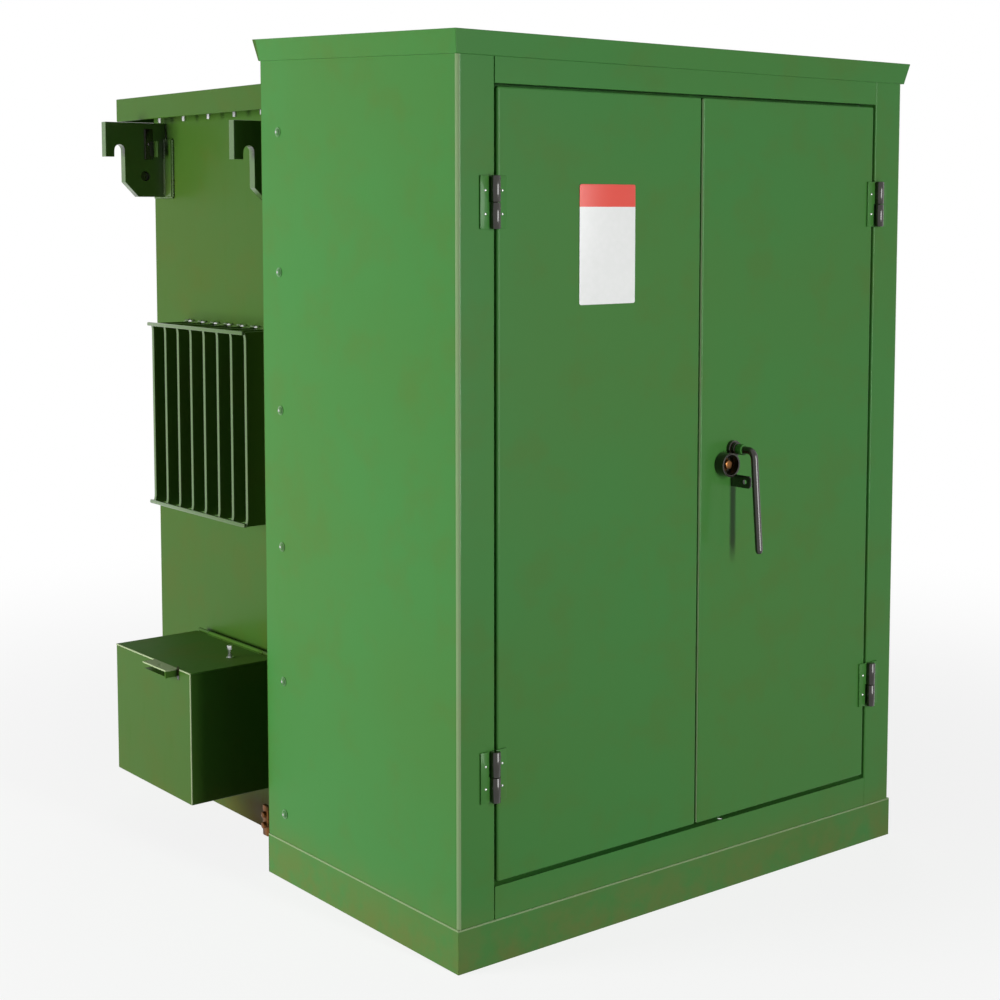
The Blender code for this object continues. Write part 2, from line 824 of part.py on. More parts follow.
def tank():
    """Oil tank open at the top, with the wide front plate that closes the cabinet."""
    low = Vector((-tank_x, plate_y, 0))
    high = Vector((tank_x, back_y, rim_z))
    made = piece("tank", lambda bm: add_box(bm, low, high), "green_paint")
    rim_low = (-tank_x - RIM_WIDTH, plate_y + 0.001, rim_z - RIM_THICKNESS)
    rim_high = (tank_x + RIM_WIDTH, back_y + RIM_WIDTH, rim_z)
    fuse(made, lambda bm: add_box(bm, rim_low, rim_high))
    wall = TANK_WALL
    ledge_back = joint_y + 0.030
    hollow_low = (-tank_x + wall, joint_y, wall)
    hollow_high = (tank_x - wall, back_y - wall, rim_z - RIM_THICKNESS)
    mouth_low = (-tank_x + wall, ledge_back, rim_z - 0.050)
    mouth_high = (tank_x - wall, back_y - wall, rim_z + 0.050)
    cut(made, lambda bm: add_box(bm, hollow_low, hollow_high))
    cut(made, lambda bm: add_box(bm, mouth_low, mouth_high))
    plate_half = half_width - SHEET - FIT
    fuse(
        made,
        lambda bm: add_box(bm, (-plate_half, plate_y, 0), (plate_half, joint_y, front_plate_top)),
    )

    def flanges(bm):
        for side in (-1, 1):
            near, far = sorted((side * (plate_half - TANK_WALL), side * plate_half))
            bottom = SKIRT_HEIGHT + 0.010
            top = CABINET_HEIGHT - HOOD_EDGE
            add_box(bm, (near, joint_y - SIDE_FLANGE, bottom), (far, joint_y - 0.001, top))

    fuse(made, flanges)
    cut(made, plate_holes)


def tank_cover():
    """Bolted lid with a turned-down edge on three sides."""
    half = tank_x + COVER_OVERHANG
    back = back_y + COVER_OVERHANG
    front = joint_y + FIT
    bottom = rim_z + GASKET + 2 * FIT
    top = bottom + COVER_PLATE
    made = piece(
        "tank_cover",
        lambda bm: add_box(bm, (-half, front, top - COVER_SKIRT), (half, back, top)),
        "green_paint",
    )
    wall = COVER_SKIRT_WALL
    cut(
        made,
        lambda bm: add_box(
            bm,
            (-half + wall, front - 0.010, top - COVER_SKIRT - 0.010),
            (half - wall, back - wall, bottom),
        ),
    )


def cover_gasket():
    bottom = rim_z + FIT
    outer_x = tank_x + RIM_WIDTH - 0.003
    inner_x = tank_x + 0.003
    front = joint_y + FIT
    made = piece(
        "cover_gasket",
        lambda bm: add_box(
            bm, (-outer_x, front, bottom), (outer_x, back_y + RIM_WIDTH - 0.003, bottom + GASKET)
        ),
        "gasket_rubber",
    )
    cut(
        made,
        lambda bm: add_box(
            bm, (-inner_x, front + 0.028, bottom - 0.010), (inner_x, back_y + 0.003, bottom + 0.020)
        ),
    )


def fin_outline(side):
    """One radiator fin seen from the front, with rounded outer corners."""
    root = tank_x + FIT + FIN_BASE / 2
    tip = tank_x + FIN_REACH
    top = FIN_BOTTOM + FIN_LENGTH
    corner = tip - FIN_CORNER
    points = [(root, FIN_BOTTOM)]
    points += arc((corner, FIN_BOTTOM + FIN_CORNER), FIN_CORNER, -90, 0, 4)
    points += arc((corner, top - FIN_CORNER), FIN_CORNER, 0, 90, 4)
    points.append((root, top))
    return [(side * x, z) for x, z in points]


def radiator(name, side):
    """A bank of cooling fins on a base plate, tied by two bars at their outer edges."""
    first = FIN_FIRST_Y
    last = first + FIN_PITCH * (FIN_COUNT - 1)
    top = FIN_BOTTOM + FIN_LENGTH
    near, far = sorted((side * (tank_x + FIT), side * (tank_x + FIT + FIN_BASE)))
    made = piece(
        name,
        lambda bm: add_box(bm, (near, first - 0.020, FIN_BOTTOM), (far, last + 0.020, top)),
        "green_paint",
    )

    def fins(bm):
        for i in range(FIN_COUNT):
            middle = first + FIN_PITCH * i
            half = FIN_THICKNESS / 2
            add_prism(bm, fin_outline(side), "Y", middle - half, middle + half)

    def bars(bm):
        tip = tank_x + FIN_REACH
        for height in (FIN_BOTTOM + FIN_CORNER, top - FIN_CORNER):
            low_x, high_x = sorted((side * (tip - TIE_BAR / 2), side * (tip + TIE_BAR / 2)))
            add_box(
                bm,
                (low_x, first - 0.012, height - TIE_BAR / 2),
                (high_x, last + 0.012, height + TIE_BAR / 2),
            )

    fuse(made, fins)
    fuse(made, bars)


def lug_outline(side, lower):
    """Hook plate seen from the front, from the tank wall out to the prong."""
    root = tank_x + FIT + LUG_PAD / 2
    tip = tank_x + LUG_REACH
    notch_out = tip - LUG_PRONG
    notch_in = notch_out - LUG_NOTCH
    radius = LUG_NOTCH / 2
    chamfer = 0.034
    points = [(root, lug_top), (root, lug_bottom), (notch_in - chamfer, lug_bottom)]
    points.append((notch_in, lug_bottom + chamfer))
    middle = ((notch_in + notch_out) / 2, lug_top - LUG_NOTCH_DROP - radius)
    points += arc(middle, radius, 180, 0, 8)
    prong_end = lug_top - LUG_PRONG_LENGTH
    points += [(notch_out, prong_end), (tip, prong_end), (tip, lug_top)]
    return [(side * x, z - lower) for x, z in points]


def lifting_lug(name, side, y, lower=0.0):
    made = piece(
        name,
        lambda bm: add_prism(
            bm, lug_outline(side, lower), "Y", y - LUG_THICKNESS / 2, y + LUG_THICKNESS / 2
        ),
        "green_paint",
    )
    near, far = sorted((side * (tank_x + FIT), side * (tank_x + FIT + LUG_PAD)))
    half = LUG_PAD_WIDTH / 2
    foot = lug_bottom - lower
    pad_top = foot + 0.136
    fuse(made, lambda bm: add_box(bm, (near, y - half, foot), (far, y + half, pad_top)))
    hole_x = side * (tank_x + LUG_REACH - LUG_PRONG - LUG_NOTCH - 0.052)
    hole_z = foot + 0.048
    cut(
        made,
        lambda bm: add_rod(
            bm, (hole_x, y - 0.030, hole_z), (hole_x, y + 0.030, hole_z), LUG_HOLE, SMALL_ROUND
        ),
    )


def ground_connector():
    """Bronze clamp bolted to the tank wall just above its foot."""
    near = -tank_x - FIT
    low = (near - 0.012, GROUND_Y - 0.014, GROUND_Z - 0.030)
    high = (near, GROUND_Y + 0.014, GROUND_Z + 0.026)
    made = piece(
        "ground_connector",
        lambda bm: add_box(bm, low, high),
        "bronze",
        smooth=True,
    )
    for z in (GROUND_Z - 0.012, GROUND_Z + 0.012):
        start, end = (near - 0.006, GROUND_Y, z), (near - 0.034, GROUND_Y, z)
        fuse(made, lambda bm: add_rod(bm, start, end, 0.008, SMALL_ROUND))


# ---------------------------------------------------------------- side box and drain valve
def valve_box():
    """Sheet box, open at the top and towards the tank, with the fixed half of the lid's hinge."""
    far = -tank_x - BOX_DEPTH
    near = -tank_x - FIT
    low_y, high_y = box_sides()
    top = BOX_TOP - SHEET - LID_SEAT
    made = piece(
        "valve_box",
        lambda bm: add_box(bm, (far, low_y, BOX_BOTTOM), (near, high_y, top)),
        "green_paint",
    )
    cut(
        made,
        lambda bm: add_box(
            bm,
            (far + SHEET, low_y + SHEET, BOX_BOTTOM + SHEET),
            (near + 0.010, high_y - SHEET, top + 0.010),
        ),
    )
    strip = -tank_x - LID_HINGE_IN - 0.004
    fuse(
        made,
        lambda bm: add_box(bm, (strip, low_y + 0.001, top - SHEET), (near, high_y - 0.001, top)),
    )
    x, z = lid_axis()

    def knuckles(bm):
        for start, end in (
            (low_y + 0.002, low_y + LID_KNUCKLE),
            (high_y - LID_KNUCKLE, high_y - 0.002),
        ):
            add_rod(bm, (x, start, z), (x, end, z), LID_BARREL, SMALL_ROUND)
            add_box(bm, (x - 0.002, start, top - 0.001), (x + 0.004, end, z))

    fuse(made, knuckles)
    pin_low, pin_high = (x, low_y + 0.010, z), (x, high_y - 0.010, z)
    fuse(made, lambda bm: add_rod(bm, pin_low, pin_high, LID_PIN, SMALL_ROUND))
    half = HASP_WIDTH / 2 - SHEET - 0.002
    shelf = BOX_TOP - SHEET - HASP_DROP
    shelf_low = (far - HASP_REACH + 0.001, HASP_MIDDLE_Y - half, shelf)
    shelf_high = (far + 0.001, HASP_MIDDLE_Y + half, shelf + SHEET)
    fuse(made, lambda bm: add_box(bm, shelf_low, shelf_high))
    cut(made, lambda bm: hasp_hole(bm, far, shelf))


def hasp_hole(bm, far, z):
    """Upright padlock hole through a hasp plate whose underside is at z."""
    x = far - HASP_REACH / 2
    start, end = (x, HASP_MIDDLE_Y, z - 0.002), (x, HASP_MIDDLE_Y, z + SHEET + 0.002)
    add_rod(bm, start, end, HASP_HOLE, SMALL_ROUND)


def box_sides():
    return BOX_MIDDLE_Y - BOX_WIDTH / 2, BOX_MIDDLE_Y + BOX_WIDTH / 2


def lid_axis():
    return -tank_x - LID_HINGE_IN, BOX_TOP + 0.0025


def valve_box_lid():
    """Flat lid with a flange inside the box's walls, a hasp tab over its face and a stud on top."""
    far = -tank_x - BOX_DEPTH
    low_y, high_y = box_sides()
    x, z = lid_axis()
    rear = x - LID_BARREL - 0.001
    under = BOX_TOP - SHEET
    made = piece(
        "valve_box_lid",
        lambda bm: add_box(bm, (far, low_y, under), (rear, high_y, BOX_TOP)),
        "green_paint",
        (x, BOX_MIDDLE_Y, z),
    )

    def flange(bm, inset, past, low, high):
        start = (far + inset, low_y + inset, low)
        add_box(bm, start, (rear + past, high_y - inset, high))

    outer = SHEET + LID_SIDE_GAP
    fuse(made, lambda bm: flange(bm, outer, -0.002, under - LID_FLANGE, under + 0.001))
    cut(made, lambda bm: flange(bm, outer + SHEET, 0.010, under - 0.030, under))
    knuckle_low = low_y + LID_KNUCKLE + 0.001
    knuckle_high = high_y - LID_KNUCKLE - 0.001

    def knuckle(bm):
        add_rod(bm, (x, knuckle_low, z), (x, knuckle_high, z), LID_BARREL, SMALL_ROUND)
        low = (rear - 0.002, knuckle_low, BOX_TOP - 0.002)
        add_box(bm, low, (x - 0.001, knuckle_high, BOX_TOP + 0.001))

    fuse(made, knuckle)
    bore = LID_PIN + LID_PIN_CLEARANCE
    bore_low, bore_high = (x, knuckle_low - 0.010, z), (x, knuckle_high + 0.010, z)
    cut(made, lambda bm: add_rod(bm, bore_low, bore_high, bore, SMALL_ROUND))
    end_y = HASP_MIDDLE_Y - HASP_WIDTH / 2
    tab_low = (far - HASP_REACH, end_y, under)
    tab_high = (far + 0.001, end_y + HASP_WIDTH, BOX_TOP)
    fuse(made, lambda bm: add_box(bm, tab_low, tab_high))
    turned_low = (far - HASP_REACH, end_y, under - HASP_DROP)
    turned_high = (far - LID_SIDE_GAP, end_y + SHEET, BOX_TOP - 0.001)
    fuse(made, lambda bm: add_box(bm, turned_low, turned_high))
    cut(made, lambda bm: hasp_hole(bm, far, under))
    stud_low, stud_high = (STUD_X, STUD_Y, under + 0.001), (STUD_X, STUD_Y, BOX_TOP + STUD_HEIGHT)
    fuse(made, lambda bm: add_rod(bm, stud_low, stud_high, STUD_RADIUS, SMALL_ROUND))


def drain_valve():
    """Flanged globe valve on the tank wall with a bored bonnet for its stem."""
    base = (-tank_x - FIT, BOX_MIDDLE_Y, VALVE_Z)
    outline = [
        (0, 0),
        (VALVE_FLANGE, 0),
        (VALVE_FLANGE, 0.010),
        (0.018, 0.014),
        (0.018, 0.030),
        (VALVE_BODY, 0.042),
        (VALVE_BODY, 0.072),
        (0.017, 0.084),
        (0.017, VALVE_REACH),
        (0, VALVE_REACH),
    ]
    made = piece(
        "drain_valve",
        lambda bm: add_turned(bm, outline, base, (-1, 0, 0)),
        "bronze",
        smooth=True,
    )
    stem = drain_stem()
    bonnet_top = VALVE_Z + 0.060
    fuse(
        made,
        lambda bm: add_rod(
            bm, (stem.x, stem.y, VALVE_Z), (stem.x, stem.y, bonnet_top), 0.015, SMALL_ROUND
        ),
    )
    cut(
        made,
        lambda bm: add_rod(
            bm,
            (stem.x, stem.y, VALVE_Z + 0.034),
            (stem.x, stem.y, bonnet_top + 0.010),
            STEM_RADIUS + FIT,
            SMALL_ROUND,
        ),
    )


def drain_stem():
    return Vector((-tank_x - 0.057, BOX_MIDDLE_Y, VALVE_Z))


def drain_handwheel():
    """Four-spoke handwheel and its stem."""
    stem = drain_stem()
    rim_z = VALVE_Z + 0.090
    outline = [
        (0, -0.055),
        (STEM_RADIUS, -0.055),
        (STEM_RADIUS, -0.010),
        (0.010, -0.010),
        (0.010, 0.008),
        (0, 0.008),
    ]
    origin = (stem.x, stem.y, rim_z)
    made = piece(
        "drain_handwheel",
        lambda bm: add_turned(bm, outline, origin, (0, 0, 1), SMALL_ROUND),
        "red_paint",
        origin,
        smooth=True,
    )
    reach = WHEEL_RADIUS

    def spokes(bm):
        for half_x, half_y, half_z in ((reach, 0.0040, 0.0030), (0.0036, reach, 0.0026)):
            half = Vector((half_x, half_y, half_z))
            add_box(bm, Vector(origin) - half, Vector(origin) + half)

    fuse(made, lambda bm: add_turned(bm, ring_profile(reach, WHEEL_RIM, 0), origin, (0, 0, 1)))
    fuse(made, spokes)


# ---------------------------------------------------------------- front plate fittings
def fuse_point(x, along):
    """A point on a fuse's tilted centre line, measured outwards from the front plate."""
    slope = Vector((0, -math.cos(FUSE_TILT), math.sin(FUSE_TILT)))
    return Vector((x, plate_y, fuse_z)) + slope * along


def fuse_pair(number, x):
    """A tilted fuse housing with its flange on the plate, and the holder that pulls out of it."""
    outer = FUSE_BORE + FUSE_WALL
    inside, outside = fuse_point(x, -FUSE_INSIDE), fuse_point(x, FUSE_OUTSIDE)
    housing = piece(
        f"fuse_housing_{number}",
        lambda bm: add_rod(bm, inside, outside, outer),
        "black_moulding",
        smooth=True,
    )
    fuse(
        housing,
        lambda bm: add_rod(bm, on_plate(x, fuse_z, FIT), on_plate(x, fuse_z, 0.012), BUSHING_FLANGE),
    )
    cut(
        housing,
        lambda bm: add_rod(bm, fuse_point(x, -0.300), fuse_point(x, 0.100), FUSE_BORE),
    )
    slope = fuse_point(0, 1) - fuse_point(0, 0)
    cap = FUSE_OUTSIDE + 0.0006
    outline = [
        (0, -0.200),
        (FUSE_BORE - 0.0008, -0.200),
        (FUSE_BORE - 0.0008, cap),
        (0.032, cap),
        (0.032, cap + 0.022),
        (0.016, cap + 0.030),
        (0, cap + 0.030),
    ]
    origin = fuse_point(x, 0)
    holder = piece(
        f"fuse_holder_{number}",
        lambda bm: add_turned(bm, outline, origin, slope),
        "grey_moulding",
        fuse_point(x, cap),
        smooth=True,
    )
    eye = fuse_point(x, cap + 0.044)
    fuse(
        holder,
        lambda bm: add_turned(bm, ring_profile(0.016, 0.004, 0), eye, (1, 0, 0), SMALL_ROUND),
    )


def hv_bushing(number, x):
    """High-voltage bushing with a tapered nose and its shank through the plate."""
    outline = [
        (0, -0.085),
        (0.014, -0.085),
        (0.020, -0.060),
        (HV_SHANK, -0.012),
        (HV_SHANK, FIT),
        (BUSHING_FLANGE, FIT),
        (BUSHING_FLANGE, 0.014),
        (0.036, 0.016),
        (0.034, 0.052),
        (0.024, 0.100),
        (0.018, 0.118),
        (0.010, 0.118),
        (0.010, 0.070),
        (0, 0.070),
    ]
    piece(
        f"hv_bushing_{number}",
        lambda bm: add_turned(bm, outline, on_plate(x, HV_Z), OUTWARD),
        "grey_moulding",
        smooth=True,
    )


def lv_bushing(number, x):
    """Low-voltage bushing with a flat spade that has four bolt holes."""
    reach = 0.118
    outline = [
        (0, -0.075),
        (0.016, -0.075),
        (0.016, -0.040),
        (LV_SHANK, -0.030),
        (LV_SHANK, FIT),
        (BUSHING_FLANGE, FIT),
        (BUSHING_FLANGE, 0.014),
        (0.036, 0.018),
        (0.032, 0.070),
        (0.019, 0.080),
        (0.019, reach),
        (0, reach),
    ]
    made = piece(
        f"lv_bushing_{number}",
        lambda bm: add_turned(bm, outline, on_plate(x, LV_Z), OUTWARD),
        "red_moulding",
        smooth=True,
    )
    half = SPADE_THICKNESS / 2
    start = plate_y - reach + 0.012
    end = start - SPADE_LENGTH
    low = (x - half, end, LV_Z - SPADE_HEIGHT / 2)
    high = (x + half, start, LV_Z + SPADE_HEIGHT / 2)
    fuse(made, lambda bm: add_box(bm, low, high))

    def holes(bm):
        middle = end + SPADE_LENGTH / 2 - 0.010
        for dy in (-SPADE_PITCH / 2, SPADE_PITCH / 2):
            for dz in (-SPADE_PITCH / 2, SPADE_PITCH / 2):
                y, z = middle + dy, LV_Z + dz
                add_rod(bm, (x - 0.020, y, z), (x + 0.020, y, z), SPADE_HOLE, 12)

    cut(made, holes)


def turning_handle(name, x, z, finish, length, width):
    """A shaft through the plate with a bar handle on its outer end."""
    outline = [
        (0, -0.050),
        (DIAL_SHAFT, -0.050),
        (DIAL_SHAFT, FIT),
        (0.024, FIT),
        (0.024, 0.012),
        (0.015, 0.014),
        (0.015, 0.052),
        (0, 0.052),
    ]
    pivot = on_plate(x, z)
    made = piece(
        name,
        lambda bm: add_turned(bm, outline, pivot, OUTWARD),
        finish,
        pivot,
        smooth=True,
    )
    low = on_plate(x - length / 2, z - width / 2, 0.048)
    high = on_plate(x + length / 2, z + width / 2, 0.030)
    fuse(made, lambda bm: add_box(bm, low, high))


def gauge(name, x):
    """Round dial gauge with a recessed face and its stub through the plate."""
    outline = [
        (0, -0.060),
        (GAUGE_STUB, -0.060),
        (GAUGE_STUB, FIT),
        (0.050, FIT),
        (0.056, 0.008),
        (0.056, 0.032),
        (0.048, 0.032),
        (0.048, 0.026),
        (0, 0.026),
    ]
    piece(
        name,
        lambda bm: add_turned(bm, outline, on_plate(x, gauge_z), OUTWARD),
        "cast_metal",
        smooth=True,
    )


def relief_valve():
    """Spring-loaded relief valve and the ring that pulls it open."""
    x = RELIEF_X
    outline = [
        (RELIEF_BORE + 0.0005, 0.004),
        (RELIEF_BORE + 0.0005, 0.050),
        (0.018, 0.050),
        (0.022, 0.044),
        (0.022, FIT),
        (RELIEF_STUB, FIT),
        (RELIEF_STUB, -0.030),
        (0.010, -0.030),
        (0.010, 0.004),
    ]
    piece(
        "relief_valve",
        lambda bm: add_turned(bm, outline, on_plate(x, relief_z), OUTWARD),
        "brass",
        smooth=True,
    )
    stem = [(0, 0.006), (RELIEF_BORE, 0.006), (RELIEF_BORE, 0.064), (0, 0.064)]
    pivot = on_plate(x, relief_z)
    ring = piece(
        "relief_pull_ring",
        lambda bm: add_turned(bm, stem, pivot, OUTWARD, SMALL_ROUND),
        "zinc_steel",
        on_plate(x, relief_z, 0.064),
        smooth=True,
    )
    middle = on_plate(x, relief_z, 0.080)
    fuse(
        ring,
        lambda bm: add_turned(bm, ring_profile(0.018, 0.003, 0), middle, (1, 0, 0), SMALL_ROUND),
    )


# ---------------------------------------------------------------- core and coils
def core():
    """Three-limb laminated core."""
    half = LIMB_PITCH + LIMB / 2
    top = CORE_BOTTOM + WINDOW_HEIGHT + 2 * LIMB
    low_y, high_y = CORE_Y - LIMB / 2, CORE_Y + LIMB / 2
    made = piece(
        "core",
        lambda bm: add_box(bm, (-half, low_y, CORE_BOTTOM), (half, high_y, top)),
        "core_steel",
    )

    def windows(bm):
        for side in (-1, 1):
            near, far = sorted((side * LIMB / 2, side * (LIMB_PITCH - LIMB / 2)))
            low = (near, low_y - 0.010, CORE_BOTTOM + LIMB)
            add_box(bm, low, (far, high_y + 0.010, top - LIMB))

    cut(made, windows)


def coil(name, x):
    """Winding round one limb."""
    low = CORE_BOTTOM + LIMB + COIL_GAP
    high = CORE_BOTTOM + LIMB + WINDOW_HEIGHT - COIL_GAP
    inner = (LIMB / math.sqrt(2) + FIT) / math.cos(math.pi / COIL_SIDES)
    outline = [(inner, low), (COIL_OUTER, low), (COIL_OUTER, high), (inner, high)]
    piece(
        name,
        lambda bm: add_turned(bm, outline, (x, CORE_Y, 0), (0, 0, 1), COIL_SIDES),
        "winding",
        smooth=True,
    )


def core_frame():
    """Clamping bars at both yokes, joined by end bars, on four legs."""
    half_x = LIMB_PITCH + COIL_OUTER + 0.0165
    inner_y = LIMB / 2 + 0.0008
    outer_y = inner_y + FRAME_BAR
    yoke = (LIMB - FRAME_HEIGHT) / 2
    lower = CORE_BOTTOM + yoke
    upper = CORE_BOTTOM + LIMB + WINDOW_HEIGHT + yoke
    inner_x = half_x - FRAME_BAR

    def block(bm, low, high):
        add_box(bm, (low[0], CORE_Y + low[1], low[2]), (high[0], CORE_Y + high[1], high[2]))

    made = piece(
        "core_frame",
        lambda bm: block(bm, (-half_x, -outer_y, lower), (half_x, outer_y, lower + FRAME_HEIGHT)),
        "core_steel",
    )
    fuse(
        made,
        lambda bm: block(
            bm, (-half_x, -outer_y, upper), (half_x, outer_y, upper + FRAME_HEIGHT)
        ),
    )

    def ends(bm):
        for side in (-1, 1):
            near, far = sorted((side * inner_x, side * half_x))
            block(bm, (near, -0.030, lower + 0.005), (far, 0.030, upper + 0.005))

    def legs(bm):
        for side in (-1, 1):
            for end in (-1, 1):
                near, far = sorted((side * (half_x - 0.040), side * (half_x - 0.001)))
                front, back = sorted((end * (inner_y + 0.001), end * (outer_y - 0.001)))
                block(bm, (near, front, TANK_WALL + FIT), (far, back, lower + 0.010))

    fuse(made, ends)
    cut(
        made,
        lambda bm: block(bm, (-inner_x, -inner_y, 0), (inner_x, inner_y, 2)),
    )
    fuse(made, legs)


# ---------------------------------------------------------------- assembly
def build():
    for old in list(bpy.data.objects):
        bpy.data.objects.remove(old)
    root = bpy.data.objects.new("transformer", None)
    bpy.context.scene.collection.objects.link(root)
    places["transformer"] = Vector((0, 0, 0))

    material("green_paint", (0.055, 0.190, 0.050), 0.40, 0.0)
    material("black_steel", (0.020, 0.022, 0.016), 0.30, 0.8)
    material("zinc_steel", (0.560, 0.570, 0.580), 0.35, 1.0)
    material("bronze", (0.420, 0.240, 0.110), 0.40, 1.0)
    material("brass", (0.600, 0.420, 0.160), 0.35, 1.0)
    material("cast_metal", (0.300, 0.310, 0.320), 0.50, 0.9)
    material("core_steel", (0.170, 0.180, 0.190), 0.55, 0.8)
    material("winding", (0.520, 0.300, 0.150), 0.70, 0.0)
    material("gasket_rubber", (0.025, 0.025, 0.025), 0.85, 0.0)
    material("fibre_board", (0.350, 0.060, 0.040), 0.70, 0.0)
    material("black_moulding", (0.025, 0.025, 0.028), 0.45, 0.0)
    material("grey_moulding", (0.180, 0.185, 0.190), 0.50, 0.0)
    material("red_moulding", (0.300, 0.070, 0.045), 0.50, 0.0)
    material("red_paint", (0.450, 0.040, 0.030), 0.45, 0.0)

    tank()
    tank_cover()
    cover_gasket()
    core()
    core_frame()
    for letter, x in zip("abc", (-LIMB_PITCH, 0, LIMB_PITCH)):
        coil(f"coil_{letter}", x)
    for word, side in (("left", -1), ("right", 1)):
        radiator(f"{word}_radiator", side)
        lifting_lug(f"{word}_front_lug", side, joint_y + LUG_FRONT_INSET, LUG_FRONT_LOWER)
        lifting_lug(f"{word}_back_lug", side, back_y - LUG_BACK_INSET)
        side_panel(f"{word}_side_panel", side)
    cabinet_roof()
    rail("door_header", opening_top, CABINET_HEIGHT - HEADER_TUCK, -1)
    rail("door_sill", OPENING_BOTTOM, SKIRT_HEIGHT + FIT, 1)
    base_skirt()
    barrier()
    door("left_door", -1)
    right = door("right_door", 1)
    right_door_fittings(right)
    for word, side in (("left", -1), ("right", 1)):
        for level, sign in (("upper", 1), ("lower", -1)):
            middle = opening_middle + sign * hinge_spread
            hinge(f"{word}_{level}_hinge", side, middle, f"{word}_door")
    handle_and_latch()
    for number, x in enumerate(HV_X, 1):
        hv_bushing(number, x)
    for number, x in enumerate(LV_X):
        lv_bushing(number, x)
    for number, x in enumerate(FUSE_X, 1):
        fuse_pair(number, x)
    turning_handle("switch_handle", SWITCH_X, switch_z, "red_paint", *SWITCH_HANDLE)
    turning_handle("tap_changer_handle", TAP_X, TAP_Z, "black_moulding", *TAP_HANDLE)
    gauge("oil_level_gauge", LEVEL_X)
    gauge("thermometer", THERMOMETER_X)
    relief_valve()
    valve_box()
    valve_box_lid()
    drain_valve()
    drain_handwheel()
    ground_connector()


build()
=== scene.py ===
import json
import math
import random

import bmesh
import bpy
from mathutils import Matrix, Vector


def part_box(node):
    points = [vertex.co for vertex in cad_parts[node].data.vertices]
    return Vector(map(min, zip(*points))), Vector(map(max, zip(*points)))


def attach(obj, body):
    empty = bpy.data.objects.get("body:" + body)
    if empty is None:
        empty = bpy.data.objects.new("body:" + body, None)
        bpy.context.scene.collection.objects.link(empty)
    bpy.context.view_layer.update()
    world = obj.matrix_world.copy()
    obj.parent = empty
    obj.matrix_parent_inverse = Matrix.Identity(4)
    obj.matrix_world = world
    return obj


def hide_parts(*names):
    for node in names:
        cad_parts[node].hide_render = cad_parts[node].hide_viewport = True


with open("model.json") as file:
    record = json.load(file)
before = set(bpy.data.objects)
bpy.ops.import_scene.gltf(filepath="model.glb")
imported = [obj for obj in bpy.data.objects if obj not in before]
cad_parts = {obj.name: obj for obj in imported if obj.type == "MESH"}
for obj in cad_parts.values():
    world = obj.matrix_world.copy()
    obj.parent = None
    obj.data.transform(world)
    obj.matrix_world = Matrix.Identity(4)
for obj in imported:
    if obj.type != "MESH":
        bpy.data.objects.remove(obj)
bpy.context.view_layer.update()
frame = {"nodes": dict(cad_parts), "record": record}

nodes = frame["nodes"]
draw = random.Random(11)  # the only source of chance, so each run gives the same object
outward = Vector((0, -1, 0))  # away from the doors, towards someone who opens them
up = Vector((0, 0, 1))


# Where things are, read from the frame
def low(node):
    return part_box(node)[0]


def high(node):
    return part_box(node)[1]


def middle(node):
    return (low(node) + high(node)) / 2


seat = 0.0003  # the gap that two pieces keep where they meet
doorFace = low("left_door").y
plateFace = high("hv_lv_barrier").y + seat  # the tank's front plate, seen from the doors
print("frame loaded")


# Camera and light
view = {
    "place": (-2.4959, -3.1995, 1.3780),
    "turn": 38.40,
    "dip": 5.0,
    "lens": 64.45,
    "sensor": 36.0,
    "shiftUp": -0.129,
}


def makeCamera():
    data = bpy.data.cameras.new("camera")
    data.lens, data.sensor_width = view["lens"], view["sensor"]
    data.shift_y = view["shiftUp"]
    camera = bpy.data.objects.new("camera", data)
    camera.location = view["place"]
    camera.rotation_euler = (math.radians(90 - view["dip"]), 0, math.radians(-view["turn"]))
    bpy.context.scene.collection.objects.link(camera)
    bpy.context.scene.camera = camera


lamps = {
    "key": {
        "place": (-0.12, -4.50, 1.25), "aim": (-0.12, -0.69, 0.95), "wide": 0.32, "tall": 2.2,
        "watts": 108, "mirrored": False, "lights": True,
    },
    "edgeLight": {  # draws only the bright line along folds and rods
        "place": (0.55, -4.60, 1.25), "aim": (-0.12, -0.69, 0.95), "wide": 2.20, "tall": 2.6,
        "watts": 150, "mirrored": True, "lights": False,
    },
    "leftPanel": {
        "place": (-4.80, 1.40, 1.00), "aim": (-0.55, 0.0, 0.9), "wide": 2.2, "tall": 2.2,
        "watts": 300, "mirrored": False, "lights": True,
    },
    "backFill": {
        "place": (3.60, 3.60, 3.20), "aim": (0, 0, 0.9), "wide": 2.6, "tall": 2.6,
        "watts": 45, "mirrored": False, "lights": True,
    },
}
room = {
    "ambient": 0.035, "background": 1.0, "floorSize": 14.0, "floorRough": 0.9,
    "shadowShow": 0.17, "shadowFrom": 0.9, "shadowTo": 3.6,
    "floorBounce": (0.30, 0.30, 0.30), "floorSeen": (0.92, 0.92, 0.92),
}


def makeLamps():
    for name, lamp in lamps.items():
        data = bpy.data.lights.new(name, "AREA")
        data.shape = "RECTANGLE"
        data.size, data.size_y, data.energy = lamp["wide"], lamp["tall"], lamp["watts"]
        light = bpy.data.objects.new(name, data)
        light.location = lamp["place"]
        light.visible_glossy = lamp["mirrored"]
        light.visible_diffuse = lamp["lights"]
        away = Vector(lamp["aim"]) - light.location
        light.rotation_euler = away.to_track_quat("-Z", "Y").to_euler()
        bpy.context.scene.collection.objects.link(light)


